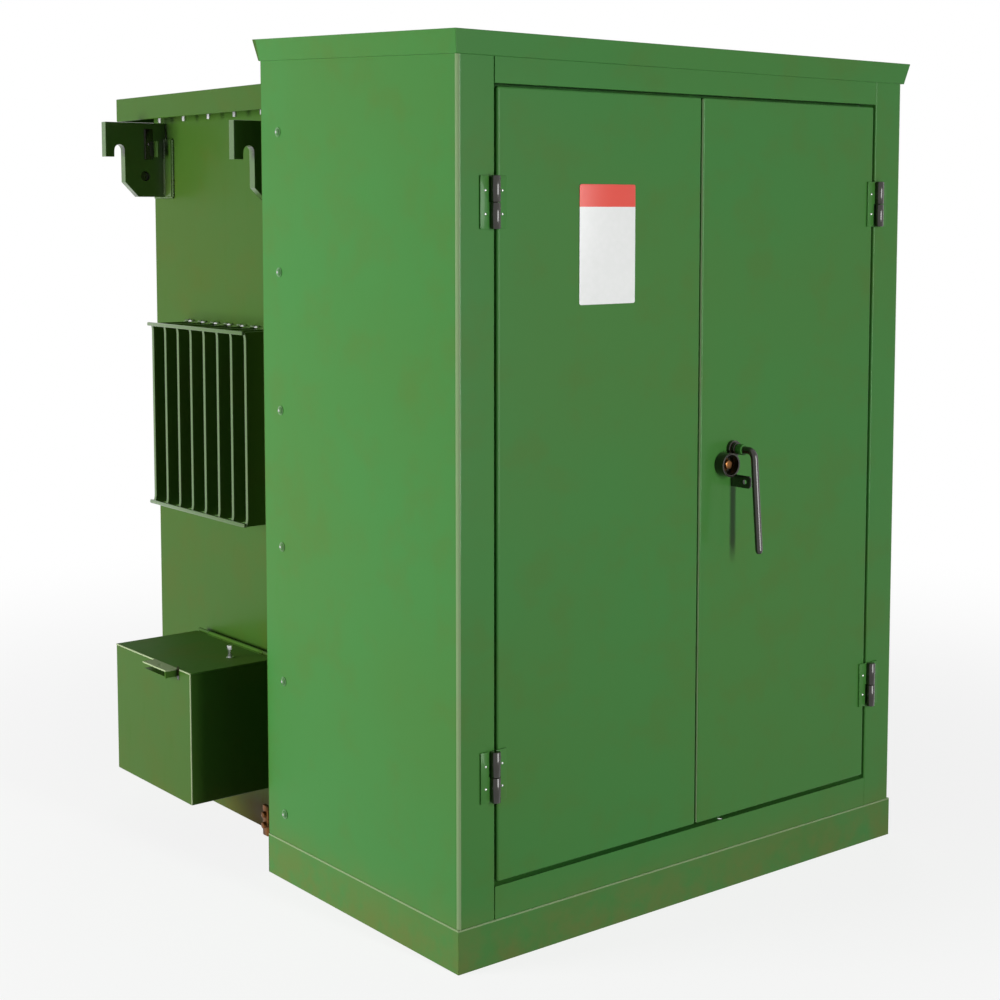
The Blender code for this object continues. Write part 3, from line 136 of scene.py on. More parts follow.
# Shader maths. A Signal is one socket, and sums on it add their own nodes.
class Signal:
    def __init__(self, tree, socket):
        self.tree, self.socket = tree, socket

    def sum(self, operation, *values):
        return addNode(self.tree, "ShaderNodeMath", {"operation": operation}, dict(enumerate(values)))

    def __add__(self, other):
        return self.sum("ADD", self, other)

    def __sub__(self, other):
        return self.sum("SUBTRACT", self, other)

    def __rsub__(self, other):
        return self.sum("SUBTRACT", other, self)

    def __mul__(self, other):
        return self.sum("MULTIPLY", self, other)

    def __gt__(self, other):
        return self.sum("GREATER_THAN", self, other)

    def __lt__(self, other):
        return self.sum("LESS_THAN", self, other)

    __radd__, __rmul__ = __add__, __mul__

    def wave(self):
        return self.sum("SINE", self)

    def power(self, exponent):
        return self.sum("POWER", self, exponent)

    def larger(self, other):
        return self.sum("MAXIMUM", self, other)

    def magnitude(self):
        return self.sum("ABSOLUTE", self)

    def within(self, start, end):  # 1 from start to end, and 0 outside
        return (self > start) * (self < end)

    def between(self, start, end):  # 0 before start, 1 after end, smooth between them
        return addNode(
            self.tree, "ShaderNodeMapRange", {"interpolation_type": "SMOOTHSTEP"},
            {"Value": self, "From Min": start, "From Max": end},
        )


def addNode(tree, kind, settings, inputs, output=0):
    made = tree.nodes.new(kind)
    for name, value in settings.items():
        setattr(made, name, value)
    for name, value in inputs.items():
        if isinstance(value, Signal):
            tree.links.new(value.socket, made.inputs[name])
        else:
            made.inputs[name].default_value = value
    return Signal(tree, made.outputs[output])


class Finish:
    def __init__(self, name, **constants):
        self.material = bpy.data.materials.new(name)
        self.material.use_nodes = True
        self.tree = self.material.node_tree
        self.shader = self.tree.nodes["Principled BSDF"]
        for socket, value in constants.items():
            self.set(socket.replace("_", " "), value)
        self.place = self.node("ShaderNodeTexCoord", {}, {}, "Object")

    def node(self, kind, settings, inputs, output=0):
        return addNode(self.tree, kind, settings, inputs, output)

    def set(self, socket, value):
        if isinstance(value, Signal):
            self.tree.links.new(value.socket, self.shader.inputs[socket])
        else:
            self.shader.inputs[socket].default_value = value

    def along(self, axis):
        return self.node("ShaderNodeSeparateXYZ", {}, {"Vector": self.place}, axis)

    def noise(self, scale, detail=2.0, roughness=0.5, stretch=(1, 1, 1)):
        place = self.place
        if stretch != (1, 1, 1):
            place = self.node("ShaderNodeMapping", {}, {"Vector": place, "Scale": stretch})
        inputs = {"Vector": place, "Scale": scale, "Detail": detail, "Roughness": roughness}
        return self.node("ShaderNodeTexNoise", {}, inputs)

    def cells(self, scale):
        return self.node("ShaderNodeTexVoronoi", {}, {"Vector": self.place, "Scale": scale})

    def mix(self, first, second, amount):
        colours = [c if isinstance(c, Signal) else (*c, 1.0) for c in (first, second)]
        inputs = {0: amount, 6: colours[0], 7: colours[1]}
        return self.node("ShaderNodeMix", {"data_type": "RGBA"}, inputs, 2)

    def bump(self, height, strength, depth):
        inputs = {"Height": height, "Strength": strength, "Distance": depth}
        self.set("Normal", self.node("ShaderNodeBump", {}, inputs))


finishes = {}


enamel = {
    "green": (0.0450, 0.2000, 0.0380), "olive": (0.0640, 0.1660, 0.0260),
    "tankGreen": (0.0430, 0.1120, 0.0150), "tankOlive": (0.0600, 0.0990, 0.0110),
    "driftScale": 1.7, "driftShare": 0.35, "mottleScale": 9.0, "mottleShare": 0.40,
    "peelScale": 300.0, "peelDepth": 0.00006, "panScale": 2.4, "panShare": 14.0,
    "tankFrom": -0.0300, "tankBlend": 0.004,  # where the tank's older paint starts
    "plateFrom": -0.0700, "plateHalf": 0.5850,  # the duller front plate between the side panels
}
dust = {"colour": (0.1500, 0.1550, 0.0400), "top": 0.16, "scale": 14.0, "share": 0.55}
# painted shade: a dark brown laid on the tank wall below the side box, where the box's shadow falls
boxShade = {
    "colour": (0.0220, 0.0090, 0.0015), "above": 0.09, "near": 0.04, "far": 0.34,
    "outer": -0.46, "inner": -0.30, "share": 0.95,
}
# painted highlight: a pale green laid along edges and folds, where glossy paint would catch light
edgeHighlight = {
    "colour": (0.4200, 0.5000, 0.3000), "boxFace": -0.7000, "lidTop": 0.409, "width": 0.0022,
    "lidThick": 0.0030, "slack": 0.0005, "boxShare": 0.8, "skirtTop": 0.0032, "skirtIn": 0.0012,
    "foldBand": 0.0066, "doorEdge": 0.0016, "doorDeep": 0.0040, "share": 0.45,
}


def boxShadeMask(x, y, z):  # painted shade, dark brown, on the lower tank wall below the side box and round the ground clamp
    clamp = middle("ground_connector")
    height = 1 - z.between(clamp.z, clamp.z + boxShade["above"])
    along = 1 - y.between(clamp.y + boxShade["near"], clamp.y + boxShade["far"])
    return height * along * (1 - x.between(boxShade["outer"], boxShade["inner"]))


def highlightOnBoxEdges(x, y, z):  # painted highlight: a pale line along the side box's front corner and the outer edge of its lid
    lid, slack = edgeHighlight["lidTop"], edgeHighlight["slack"]
    outside = x < edgeHighlight["boxFace"] + edgeHighlight["width"]
    corner = outside * (y < low("valve_box").y + edgeHighlight["width"]) * (z < lid + slack)
    return corner.larger(outside * z.within(lid - edgeHighlight["lidThick"], lid + slack))


def highlightOnCabinetEdges(x, y, z):  # painted highlight: pale lines along the skirt's top, the front folds and the edge where the doors meet
    aside, slack = x.magnitude(), edgeHighlight["slack"]
    skirtLow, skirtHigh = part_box("base_skirt")
    outer = (aside > skirtHigh.x - edgeHighlight["skirtIn"]).larger(y < skirtLow.y + edgeHighlight["skirtIn"])
    lip = z.within(skirtHigh.z - edgeHighlight["skirtTop"], skirtHigh.z + slack) * outer
    side, front = low("left_side_panel").x, low("left_side_panel").y
    folded = (aside - y > -edgeHighlight["foldBand"] - side - front) * (aside < slack - side)
    fold = folded * y.within(front - slack, front + edgeHighlight["foldBand"])
    doorLow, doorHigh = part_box("right_door")
    meeting = x.within(doorLow.x - slack, doorLow.x + edgeHighlight["doorEdge"])
    meeting = meeting * (y < doorFace + edgeHighlight["doorDeep"]) * z.within(doorLow.z, doorHigh.z)
    return lip.larger(fold).larger(meeting)


def greenPaint(name, gloss, tankGloss, coatRoughness, roughness=0.40, level=0.10, paintedLight=1.0):
    look = enamel
    paint = Finish(name, Specular_IOR_Level=level, Coat_Roughness=coatRoughness)
    x, y, z = paint.along(0), paint.along(1), paint.along(2)
    drift = paint.noise(look["driftScale"], 3.0).between(0.35, 0.65)
    mottle = paint.noise(look["mottleScale"], 4.0, 0.6).between(0.46, 0.70)
    blend = drift * look["driftShare"] + mottle * look["mottleShare"]
    tank = y.between(look["tankFrom"], look["tankFrom"] + look["tankBlend"])
    shades = ("green", "olive", "tankGreen", "tankOlive")
    # every colour is scaled by this factor; a factor above 1 paints light into a lightened copy of the paint
    green, olive, tankGreen, tankOlive = (tuple(part * paintedLight for part in look[key]) for key in shades)
    colour = paint.mix(paint.mix(green, olive, blend), paint.mix(tankGreen, tankOlive, blend), tank)
    foot = 1 - z.between(0.0, dust["top"])
    settled = foot * paint.noise(dust["scale"], 5.0, 0.65).between(0.25, 0.65)
    colour = paint.mix(colour, dust["colour"], settled * dust["share"])
    # darkens the tank wall below the side box with painted shade
    colour = paint.mix(colour, boxShade["colour"], tank * boxShadeMask(x, y, z) * boxShade["share"])
    # the pale edge lines below are painted highlight, not wear
    boxHighlight = highlightOnBoxEdges(x, y, z) * tank * edgeHighlight["boxShare"]
    paintedHighlight = boxHighlight.larger(highlightOnCabinetEdges(x, y, z) * edgeHighlight["share"])
    paint.set("Base Color", paint.mix(colour, edgeHighlight["colour"], paintedHighlight))
    scuff = paint.noise(38.0, 4.0, 0.6, (1, 1, 0.25)).between(0.52, 0.80)
    paint.set("Roughness", roughness + 0.05 * drift + 0.07 * scuff + 0.18 * settled)
    dull = tank.larger((y > look["plateFrom"]) * (x.magnitude() < look["plateHalf"]))
    paint.set("Coat Weight", gloss - (gloss - tankGloss) * dull - 0.05 * settled)
    height = paint.noise(look["peelScale"], 1.0) + look["panShare"] * paint.noise(look["panScale"], 1.0)
    paint.bump(height, 0.5, look["peelDepth"])
    return paint


darkSteel = {"body": (0.0110, 0.0090, 0.0035), "worn": (0.0300, 0.0270, 0.0120), "roughness": 0.24}


def blackSteel():
    steel = Finish("black_steel", Specular_IOR_Level=0.20, Coat_Weight=0.90, Coat_Roughness=0.15)
    rubbed = steel.noise(60.0, 4.0, 0.6, (1, 1, 0.3)).between(0.52, 0.72)
    steel.set("Base Color", steel.mix(darkSteel["body"], darkSteel["worn"], rubbed * 0.6))
    steel.set("Roughness", darkSteel["roughness"] + 0.14 * rubbed)
    steel.bump(steel.noise(420.0, 2.0), 0.25, 0.00006)
    return steel


platings = {  # bright colour, dull colour, roughness and the scale of the clouding
    "zinc_steel": ((0.72, 0.73, 0.72), (0.44, 0.45, 0.46), 0.20, 55.0),
    "brass": ((0.66, 0.46, 0.17), (0.40, 0.26, 0.09), 0.24, 55.0),
    "cast_metal": ((0.36, 0.37, 0.38), (0.22, 0.23, 0.24), 0.38, 30.0),
}


def plated(name, bright, dull, roughness, scale):
    metal = Finish(name, Metallic=1.0)
    cloud = metal.noise(scale, 4.0, 0.6).between(0.38, 0.66)
    fine = metal.noise(scale * 9, 2.0)
    metal.set("Base Color", metal.mix(bright, dull, cloud * 0.8))
    metal.set("Roughness", roughness + 0.16 * cloud + 0.06 * fine)
    metal.bump(fine, 0.3, 0.00008)
    return metal


bronze = {"metal": (0.22, 0.088, 0.024), "patina": (0.060, 0.030, 0.009), "scale": 48.0, "roughness": 0.28}


def agedBronze():
    metal = Finish("bronze", Metallic=0.85)
    patina = metal.noise(bronze["scale"], 5.0, 0.65).between(0.42, 0.66)
    metal.set("Base Color", metal.mix(bronze["metal"], bronze["patina"], patina))
    metal.set("Roughness", bronze["roughness"] + 0.34 * patina)
    metal.bump(metal.noise(260.0, 3.0) + patina, 0.4, 0.0002)
    return metal


coreSheets = {
    "clean": (0.20, 0.21, 0.22), "oily": (0.085, 0.080, 0.075), "lines": 2600.0, "depth": 0.00025,
    "roughness": 0.42,
}


def laminated():
    steel = Finish("core_steel", Metallic=0.75)
    sheets = (steel.along(1) * coreSheets["lines"]).wave()
    oiled = steel.noise(9.0, 4.0, 0.6).between(0.45, 0.75)
    dark = sheets.between(-0.2, 0.9) * 0.5 + oiled * 0.5
    steel.set("Base Color", steel.mix(coreSheets["clean"], coreSheets["oily"], dark))
    steel.set("Roughness", coreSheets["roughness"] + 0.20 * oiled)
    steel.bump(sheets, 0.35, coreSheets["depth"])
    return steel


paperWrap = {
    "light": (0.52, 0.33, 0.17), "dark": (0.30, 0.15, 0.065), "turns": 900.0, "depth": 0.0005,
    "roughness": 0.56,
}


def wound():
    paper = Finish("winding", Specular_IOR_Level=0.3)
    turns = (paper.along(2) * paperWrap["turns"]).wave()
    fibre = paper.noise(120.0, 4.0, 0.6, (1, 1, 4))
    dark = turns.between(-0.9, 0.3) * 0.35 + fibre * 0.45
    paper.set("Base Color", paper.mix(paperWrap["light"], paperWrap["dark"], dark))
    paper.set("Roughness", paperWrap["roughness"] + 0.22 * fibre)
    paper.bump(turns + 0.4 * fibre, 0.5, paperWrap["depth"])
    return paper


mouldings = {  # body colour, streak colour, roughness and sheen
    "gasket_rubber": ((0.030, 0.030, 0.030), (0.018, 0.018, 0.018), 0.74, 0.3),
    "black_moulding": ((0.024, 0.024, 0.027), (0.034, 0.034, 0.036), 0.36, 0.5),
    "grey_moulding": ((0.20, 0.205, 0.21), (0.15, 0.155, 0.16), 0.38, 0.5),
    "red_moulding": ((0.31, 0.070, 0.045), (0.23, 0.050, 0.034), 0.34, 0.5),
    "red_paint": ((0.52, 0.030, 0.022), (0.40, 0.026, 0.020), 0.26, 0.5),
}


def moulded(name, body, streak, roughness, sheen):
    resin = Finish(name, Specular_IOR_Level=sheen)
    flow = resin.noise(16.0, 3.0, 0.55, (1, 1, 0.4)).between(0.35, 0.70)
    grain = resin.noise(520.0, 2.0)
    resin.set("Base Color", resin.mix(body, streak, flow * 0.7))
    resin.set("Roughness", roughness + 0.10 * flow + 0.08 * grain)
    resin.bump(grain, 0.3, 0.00008)
    return resin


board = {"red": (0.40, 0.085, 0.045), "dark": (0.25, 0.045, 0.030), "threads": 900.0, "roughness": 0.50}


def glassBoard():
    sheet = Finish("fibre_board", Specular_IOR_Level=0.4)
    across, upward = sheet.along(1), sheet.along(2)
    weave = (across * board["threads"]).wave() * (upward * board["threads"]).wave()
    cloud = sheet.noise(7.0, 4.0, 0.6).between(0.35, 0.70)
    dark = cloud * 0.7 + weave.between(0, 1) * 0.2
    sheet.set("Base Color", sheet.mix(board["red"], board["dark"], dark))
    sheet.set("Roughness", board["roughness"] + 0.12 * cloud + 0.05 * weave)
    sheet.bump(weave, 0.3, 0.0002)
    return sheet


labelPlate = {
    "left": -0.3170, "right": -0.1775, "foot": 1.2100, "top": 1.4340, "bandZ": 1.3920,
    "corner": 0.004, "back": 0.0002, "thick": 0.0012, "soft": 0.0004,
    "white": (0.93, 0.94, 0.93), "grey": (0.88, 0.90, 0.88), "red": (0.80, 0.075, 0.050),
    "roughness": 0.32,
}


def whitePlate():  # a bare plate with a plain red band along its top
    plate, look = Finish("plate_enamel", Specular_IOR_Level=0.5), labelPlate
    band = plate.along(2) > look["bandZ"]
    rim = plate.cells(90.0).between(0.0, 0.9)
    colour = plate.mix(look["white"], look["grey"], rim * 0.5)
    plate.set("Base Color", plate.mix(colour, look["red"], band))
    plate.set("Roughness", look["roughness"] + 0.12 * plate.noise(40.0, 3.0))
    plate.bump(plate.noise(500.0, 1.0), 0.2, 0.00005)
    return plate


dialPrint = {  # rings as inner and outer radius on the dial's own map
    "white": (0.84, 0.85, 0.82), "black": (0.015, 0.015, 0.015), "red": (0.62, 0.03, 0.02),
    "ticks": 24.0, "tickEdge": 0.86, "tickRing": (0.36, 0.44), "outerRing": (0.452, 0.466),
    "zoneFrom": 1.6, "zoneRing": (0.30, 0.35),
}


def dialFace():  # ticks round a white dial, with no figures; the piece's own UV map centres it
    face, look = Finish("dial_face", Specular_IOR_Level=0.5), dialPrint
    spread = face.node("ShaderNodeUVMap", {}, {})
    x = face.node("ShaderNodeSeparateXYZ", {}, {"Vector": spread}, 0) - 0.5
    y = face.node("ShaderNodeSeparateXYZ", {}, {"Vector": spread}, 1) - 0.5
    radius = (x * x + y * y).power(0.5)
    angle = x.sum("ARCTAN2", x, y)
    marks = angle * look["ticks"]
    ticks = (marks.sum("COSINE", marks) > look["tickEdge"]) * radius.within(*look["tickRing"])
    zone = (angle > look["zoneFrom"]) * radius.within(*look["zoneRing"])
    lines = ticks.larger(radius.within(*look["outerRing"]))
    face.set("Base Color", face.mix(face.mix(look["white"], look["black"], lines), look["red"], zone))
    face.set("Roughness", 0.30 + 0.10 * face.noise(90.0))
    return face


def makeFinishes():
    finishes.update(
        green_paint=greenPaint("green_paint", gloss=0.20, tankGloss=0.06, coatRoughness=0.14),
        glossy=greenPaint(
            "green_paint_glossy", gloss=0.85, tankGloss=0.85, coatRoughness=0.24, roughness=0.30,
            level=0.40,
        ),
        # the lid's paint is a lightened copy (1.25 times): painted light for a top face that the lamps barely
        # reach
        lidPaint=greenPaint(
            "green_paint_flat_lightened", gloss=0.0, tankGloss=0.03, coatRoughness=0.40, roughness=0.72,
            level=0.14, paintedLight=1.25,
        ),
        black_steel=blackSteel(), bronze=agedBronze(), core_steel=laminated(), winding=wound(),
        fibre_board=glassBoard(), plate=whitePlate(), dial=dialFace(),
    )
    finishes.update({name: plated(name, *look) for name, look in platings.items()})
    finishes.update({name: moulded(name, *look) for name, look in mouldings.items()})
    print("finishes made:", len(finishes))


# Mesh helpers
def newMesh():
    return bmesh.new()


def nodeMesh(name, near=0.00001, flat=0.6):  # a node's own shape, with its flat faces whole again
    bm = newMesh()
    bm.from_mesh(nodes[name].data)
    bmesh.ops.remove_doubles(bm, verts=bm.verts, dist=near)
    bmesh.ops.dissolve_limit(bm, angle_limit=math.radians(flat), verts=bm.verts, edges=bm.edges)
    return bm


def rounded(bm, radius, steps, chosen):
    edges = [edge for edge in bm.edges if len(edge.link_faces) == 2 and chosen(edge)]
    if edges:
        bmesh.ops.bevel(
            bm, geom=edges, offset=radius, offset_type="OFFSET", segments=steps,
            profile=0.5, affect="EDGES", material=-1, clamp_overlap=True,
        )


def isSharp(edge, degrees=30):
    return edge.calc_face_angle(0) > math.radians(degrees)


def isLong(edge, degrees, shortest):
    return isSharp(edge, degrees) and edge.calc_length() > shortest


def isFold(edge, area):  # an outer corner between two broad faces
    return edge.is_convex and isSharp(edge, 60) and min(f.calc_area() for f in edge.link_faces) > area


def block(bm, lowest, highest):
    lowest, highest = Vector(lowest), Vector(highest)
    made = bmesh.ops.create_cube(bm, size=1.0)["verts"]
    bmesh.ops.scale(bm, vec=highest - lowest, verts=made)
    bmesh.ops.translate(bm, vec=(lowest + highest) / 2, verts=made)


def facing(origin, axis):
    return Matrix.Translation(origin) @ Vector(axis).to_track_quat("Z", "Y").to_matrix().to_4x4()


def turned(bm, profile, origin, axis, steps=40):
    part = newMesh()
    points = [part.verts.new((radius, 0, along)) for radius, along in profile]
    edges = [part.edges.new(pair) for pair in zip(points, points[1:])]
    if profile[0][0] > 0 and profile[-1][0] > 0:
        edges.append(part.edges.new((points[-1], points[0])))
    bmesh.ops.spin(
        part, geom=points + edges, cent=(0, 0, 0), axis=(0, 0, 1), angle=math.tau, steps=steps, use_merge=True
    )
    bmesh.ops.remove_doubles(part, verts=part.verts, dist=0.000001)
    bmesh.ops.transform(part, matrix=facing(origin, axis), verts=part.verts)
    bmesh.ops.recalc_face_normals(part, faces=part.faces)
    join(bm, part)


def join(bm, part):
    held = bpy.data.meshes.new("held")
    part.to_mesh(held)
    part.free()
    bm.from_mesh(held)
    bpy.data.meshes.remove(held)


def arcPoints(centre, radius, start, end, steps):
    turns = [math.radians(start + (end - start) * i / steps) for i in range(steps + 1)]
    return [(centre[0] + radius * math.cos(t), centre[1] + radius * math.sin(t)) for t in turns]


def softProfile(profile, radius, steps=3, most=0.45):  # rounds the corners of a turned outline
    made = [profile[0]]
    for before, corner, after in zip(profile, profile[1:], profile[2:]):
        corner, before, after = Vector(corner), Vector(before), Vector(after)
        reach = min(radius, (before - corner).length * most, (after - corner).length * most)
        start = corner + (before - corner).normalized() * reach
        end = corner + (after - corner).normalized() * reach
        for i in range(steps + 1):
            t = i / steps
            made.append(tuple((1 - t) ** 2 * start + 2 * t * (1 - t) * corner + t * t * end))
    made.append(profile[-1])
    return made


def drum(radius, start, end, inner=0.0):  # outline of a turned disc, or of a sleeve
    return [(inner, start), (radius, start), (radius, end), (inner, end)]


def wireRing(reach, thick, count):  # outline of a turned ring of round wire
    turns = [math.tau * i / count for i in range(count)]
    return [(reach + thick * math.cos(turn), thick * math.sin(turn)) for turn in turns]


def clockSpot(place, reach, out, degrees):  # a spot on a circle that lies in front of place
    turn = math.radians(degrees)
    return place + Vector((reach * math.cos(turn), -out, reach * math.sin(turn)))


def onPlate(node):
    return Vector((middle(node).x, plateFace, middle(node).z))


def tube(bm, path, radius, sides=12, swell=None):
    part = newMesh()
    points = [Vector(point) for point in path]
    heading, size = (points[1] - points[0]).normalized(), 1.0
    start = facing(points[0], heading)
    bmesh.ops.create_circle(part, cap_ends=True, radius=radius, segments=sides, matrix=start)
    face = part.faces[:][0]
    for i in range(1, len(points)):
        along = (points[min(i + 1, len(points) - 1)] - points[i - 1]).normalized()
        pushed = bmesh.ops.extrude_face_region(part, geom=[face])["geom"]
        face = [item for item in pushed if isinstance(item, bmesh.types.BMFace)][0]
        grown = swell(i / (len(points) - 1)) if swell else 1.0
        turn = heading.rotation_difference(along)
        for vert in face.verts:
            offset = (vert.co - points[i - 1]) * (grown / size)
            offset.rotate(turn)
            vert.co = points[i] + offset
        heading, size = along, grown
    bmesh.ops.recalc_face_normals(part, faces=part.faces)
    join(bm, part)


def sheetOutline(bm, outline, place, thick):  # a flat outline given by place(u, v), pushed along Y by thick
    face = bm.faces.new([bm.verts.new(place(u, v)) for u, v in outline])
    pushed = bmesh.ops.extrude_face_region(bm, geom=[face])["geom"]
    moved = [item for item in pushed if isinstance(item, bmesh.types.BMVert)]
    bmesh.ops.translate(bm, vec=thick, verts=moved)
    bmesh.ops.recalc_face_normals(bm, faces=bm.faces)


hexBolt = {"washer": 0.0022, "washerSoft": 0.0006, "raised": 0.0020, "soft": 0.07, "foot": 0.1}
weld = {"pitch": 0.006, "ripple": 0.16, "uneven": 0.06}


def hexHead(bm, place, axis, across, height, washer=0.0):
    if washer:
        outline = softProfile(drum(washer, 0, hexBolt["washer"]), hexBolt["washerSoft"], 2)
        turned(bm, outline, place, axis, 24)
    base = Vector(place) + Vector(axis).normalized() * (hexBolt["raised"] if washer else 0.0)
    part = newMesh()
    bmesh.ops.create_cone(
        part, cap_ends=True, segments=6, radius1=across / 2, radius2=across / 2, depth=height,
        matrix=Matrix.Translation((0, 0, height / 2)),
    )
    foot = hexBolt["foot"] * height
    rounded(part, across * hexBolt["soft"], 2, lambda edge: isSharp(edge) and edge.verts[0].co.z > foot)
    bmesh.ops.transform(part, matrix=facing(base, axis), verts=part.verts)
    join(bm, part)


def domeHead(bm, place, axis, radius, height, sides=16, sunk=0.0004):
    curve = arcPoints((0, 0), 1.0, 0, 90, 5)
    profile = [(0, -sunk), (radius, -sunk)]
    profile += [(radius * x, height * z) for x, z in curve[:-1]] + [(0, height)]
    turned(bm, profile, place, axis, sides)


def weldBead(bm, start, end, radius, pitch=weld["pitch"]):
    start, end = Vector(start), Vector(end)
    count = max(4, int((end - start).length / pitch) * 3)
    path = [start.lerp(end, i / count) for i in range(count + 1)]
    ripples = [weld["ripple"] * math.cos(math.tau * i / 3) for i in range(count + 1)]
    lumps = [1.0 + ripple + draw.uniform(-weld["uneven"], weld["uneven"]) for ripple in ripples]
    tube(bm, path, radius, 8, lambda t: lumps[min(count, int(round(t * count)))])


def finished(name, bm, body, finish, replaced=(), flat=False, slot=None, angle=32):
    mesh = bpy.data.meshes.new(name)
    bm.to_mesh(mesh)
    bm.free()
    mesh.shade_smooth()
    mesh.set_sharp_from_angle(angle=math.radians(angle))
    mesh.materials.append(finishes[finish].material)
    piece = bpy.data.objects.new(name, mesh)
    bpy.context.scene.collection.objects.link(piece)
    if flat:
        weighting = piece.modifiers.new("flat_faces", "WEIGHTED_NORMAL")
        weighting.keep_sharp = True
    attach(piece, body)
    slot = slot or (finish if finish in recordSlots else None)
    if replaced:
        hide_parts(*replaced)


recordSlots = {entry["slot"] for entry in frame["record"]["materials"]}
bodyOf = {node: body for body, held in frame["record"]["behaviour"]["bodies"].items() for node in held}


# Sheet metal: each folded piece keeps its node's outline and gets real bend radii
folds = {
    "left_side_panel": {"bend": 0.0035, "broad": 0.0100, "corner": 0.0085},
    "right_side_panel": {"bend": 0.0035, "broad": 0.0100, "corner": 0.0085},
    "cabinet_roof": {"bend": 0.0035, "broad": 0.0080},
    "door_header": {"bend": 0.0030, "broad": 0.0080},
    "door_sill": {"bend": 0.0030, "broad": 0.0080},
    "base_skirt": {"bend": 0.0035, "broad": 0.0080},
    "left_door": {"bend": 0.0048, "broad": 0.0080},
    "tank": {"bend": 0.0070, "broad": 0.0400},
    "tank_cover": {"bend": 0.0040, "broad": 0.0080},
    "valve_box": {"bend": 0.0028, "broad": 0.0080},
}


def standsAt(edge, corner, near=0.0008):  # an upright edge at this corner of the plan
    return all((vert.co.xy - corner).length < near for vert in edge.verts)


def foldedSheets():
    for node, sheet in folds.items():
        bm = nodeMesh(node)
        if "corner" in sheet:
            lowest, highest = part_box(node)
            outer = lowest.x if abs(lowest.x) > abs(highest.x) else highest.x
            corner = Vector((outer, lowest.y))
            rounded(bm, sheet["corner"], 6, lambda edge: standsAt(edge, corner))
        rounded(bm, sheet["bend"], 4, lambda edge: isFold(edge, sheet["broad"]))
        finished(node + "_sheet", bm, bodyOf[node], "green_paint", [node], flat=True)
    print("sheets folded:", len(folds))


# The right door is the left one's mirror image, with holes for the lock and the latch rods
doorHoles = {"shaft": 0.0085, "bolt": 0.0065, "rod": 0.0055, "past": 0.012}


def rightDoor():
    bm = nodeMesh("left_door")
    rounded(bm, folds["left_door"]["bend"], 4, lambda edge: isFold(edge, folds["left_door"]["broad"]))
    bmesh.ops.scale(bm, vec=(-1, 1, 1), verts=bm.verts)
    bmesh.ops.reverse_faces(bm, faces=bm.faces)
    size, past = doorHoles, doorHoles["past"]
    shaft, bolt = middle("latch_cam"), middle("penta_bolt")
    drills = newMesh()
    for place, radius in ((shaft, size["shaft"]), (bolt, size["bolt"])):
        tube(drills, [(place.x, doorFace - past, place.z), (place.x, doorFace + past, place.z)], radius, 32)
    for rod, z in (("upper_latch_rod", high("left_door").z), ("lower_latch_rod", low("left_door").z)):
        reach = high(rod) if z > shaft.z else low(rod)
        x = shaft.x + math.copysign(latch["offset"], z - shaft.z)
        y = middle(rod).y
        tube(drills, [(x, y, reach.z - past), (x, y, reach.z + past)], size["rod"], 24)
    bm = drilled(bm, drills)
    finished("right_door_sheet", bm, "right_door", "green_paint", flat=True)


def drilled(bm, drills):
    pair = []
    for part in (bm, drills):
        mesh = bpy.data.meshes.new("drilling")
        part.to_mesh(mesh)
        part.free()
        pair.append(bpy.data.objects.new("drilling", mesh))
        bpy.context.scene.collection.objects.link(pair[-1])
    step = pair[0].modifiers.new("holes", "BOOLEAN")
    step.operation, step.solver, step.object = "DIFFERENCE", "EXACT", pair[1]
    step.use_self = True
    bpy.context.view_layer.update()
    mesh = bpy.data.meshes.new_from_object(pair[0].evaluated_get(bpy.context.evaluated_depsgraph_get()))
    made = newMesh()
    made.from_mesh(mesh)
    for item in pair:
        bpy.data.meshes.remove(item.data)
    bpy.data.meshes.remove(mesh)
    return made


# Hinges: green leaves with rivets, round dark knuckles
hinge = {
    "leaf": 0.0030, "barrel": 0.0090, "clear": 0.0015, "edge": 0.0006, "chamfer": 0.0010,
    "rivet": 0.0025, "rivetHeight": 0.0024, "rivetIn": 0.0110, "rivetSpread": 0.0210,
}


def hinges():
    barrel, leaf, soft, back = hinge["barrel"], hinge["leaf"], hinge["chamfer"], doorFace - seat
    for word, side in (("left", -1), ("right", 1)):
        for level in ("upper", "lower"):
            post, door = (f"{word}_{level}_hinge_{half}_leaf" for half in ("post", "door"))
            axisX = (high(post).x - barrel) if side < 0 else (low(post).x + barrel)
            axisY = low(post).y + barrel
            bottom, top = low(post).z, high(door).z
            centre = (bottom + top) / 2
            for node, way, own, body in ((post, side, -1, "housing"), (door, -side, 1, bodyOf[door])):
                outer = high(node).x if way > 0 else low(node).x
                notch = axisX + way * (barrel + hinge["clear"])
                turnZ = centre + own * seat
                ownEnd, otherEnd = (bottom, top) if own < 0 else (top, bottom)
                outline = [(outer, ownEnd), (axisX, ownEnd), (axisX, turnZ)]
                outline += [(notch, turnZ), (notch, otherEnd), (outer, otherEnd)]
                plate, rivets = newMesh(), newMesh()
                sheetOutline(plate, outline, lambda x, z: (x, back - leaf, z), (0, leaf, 0))
                rounded(plate, hinge["edge"], 2, isSharp)
                for z in (centre - hinge["rivetSpread"], centre + hinge["rivetSpread"]):
                    spot = (outer - way * hinge["rivetIn"], back - leaf, z)
                    domeHead(rivets, spot, outward, hinge["rivet"], hinge["rivetHeight"])
                finished(node + "_plate", plate, body, "green_paint", [node])
                finished(node + "_rivets", rivets, body, "zinc_steel")
                knuckle = newMesh()
                foot, head = sorted((ownEnd, turnZ))
                profile = [(0, foot), (barrel - soft, foot), (barrel, foot + soft)]
                profile += [(barrel, head - soft), (barrel - soft, head), (0, head)]
                turned(knuckle, profile, (axisX, axisY, 0), up, 32)
                finished(node + "_knuckle", knuckle, body, "black_steel", angle=50)
    print("hinges hung: 4")


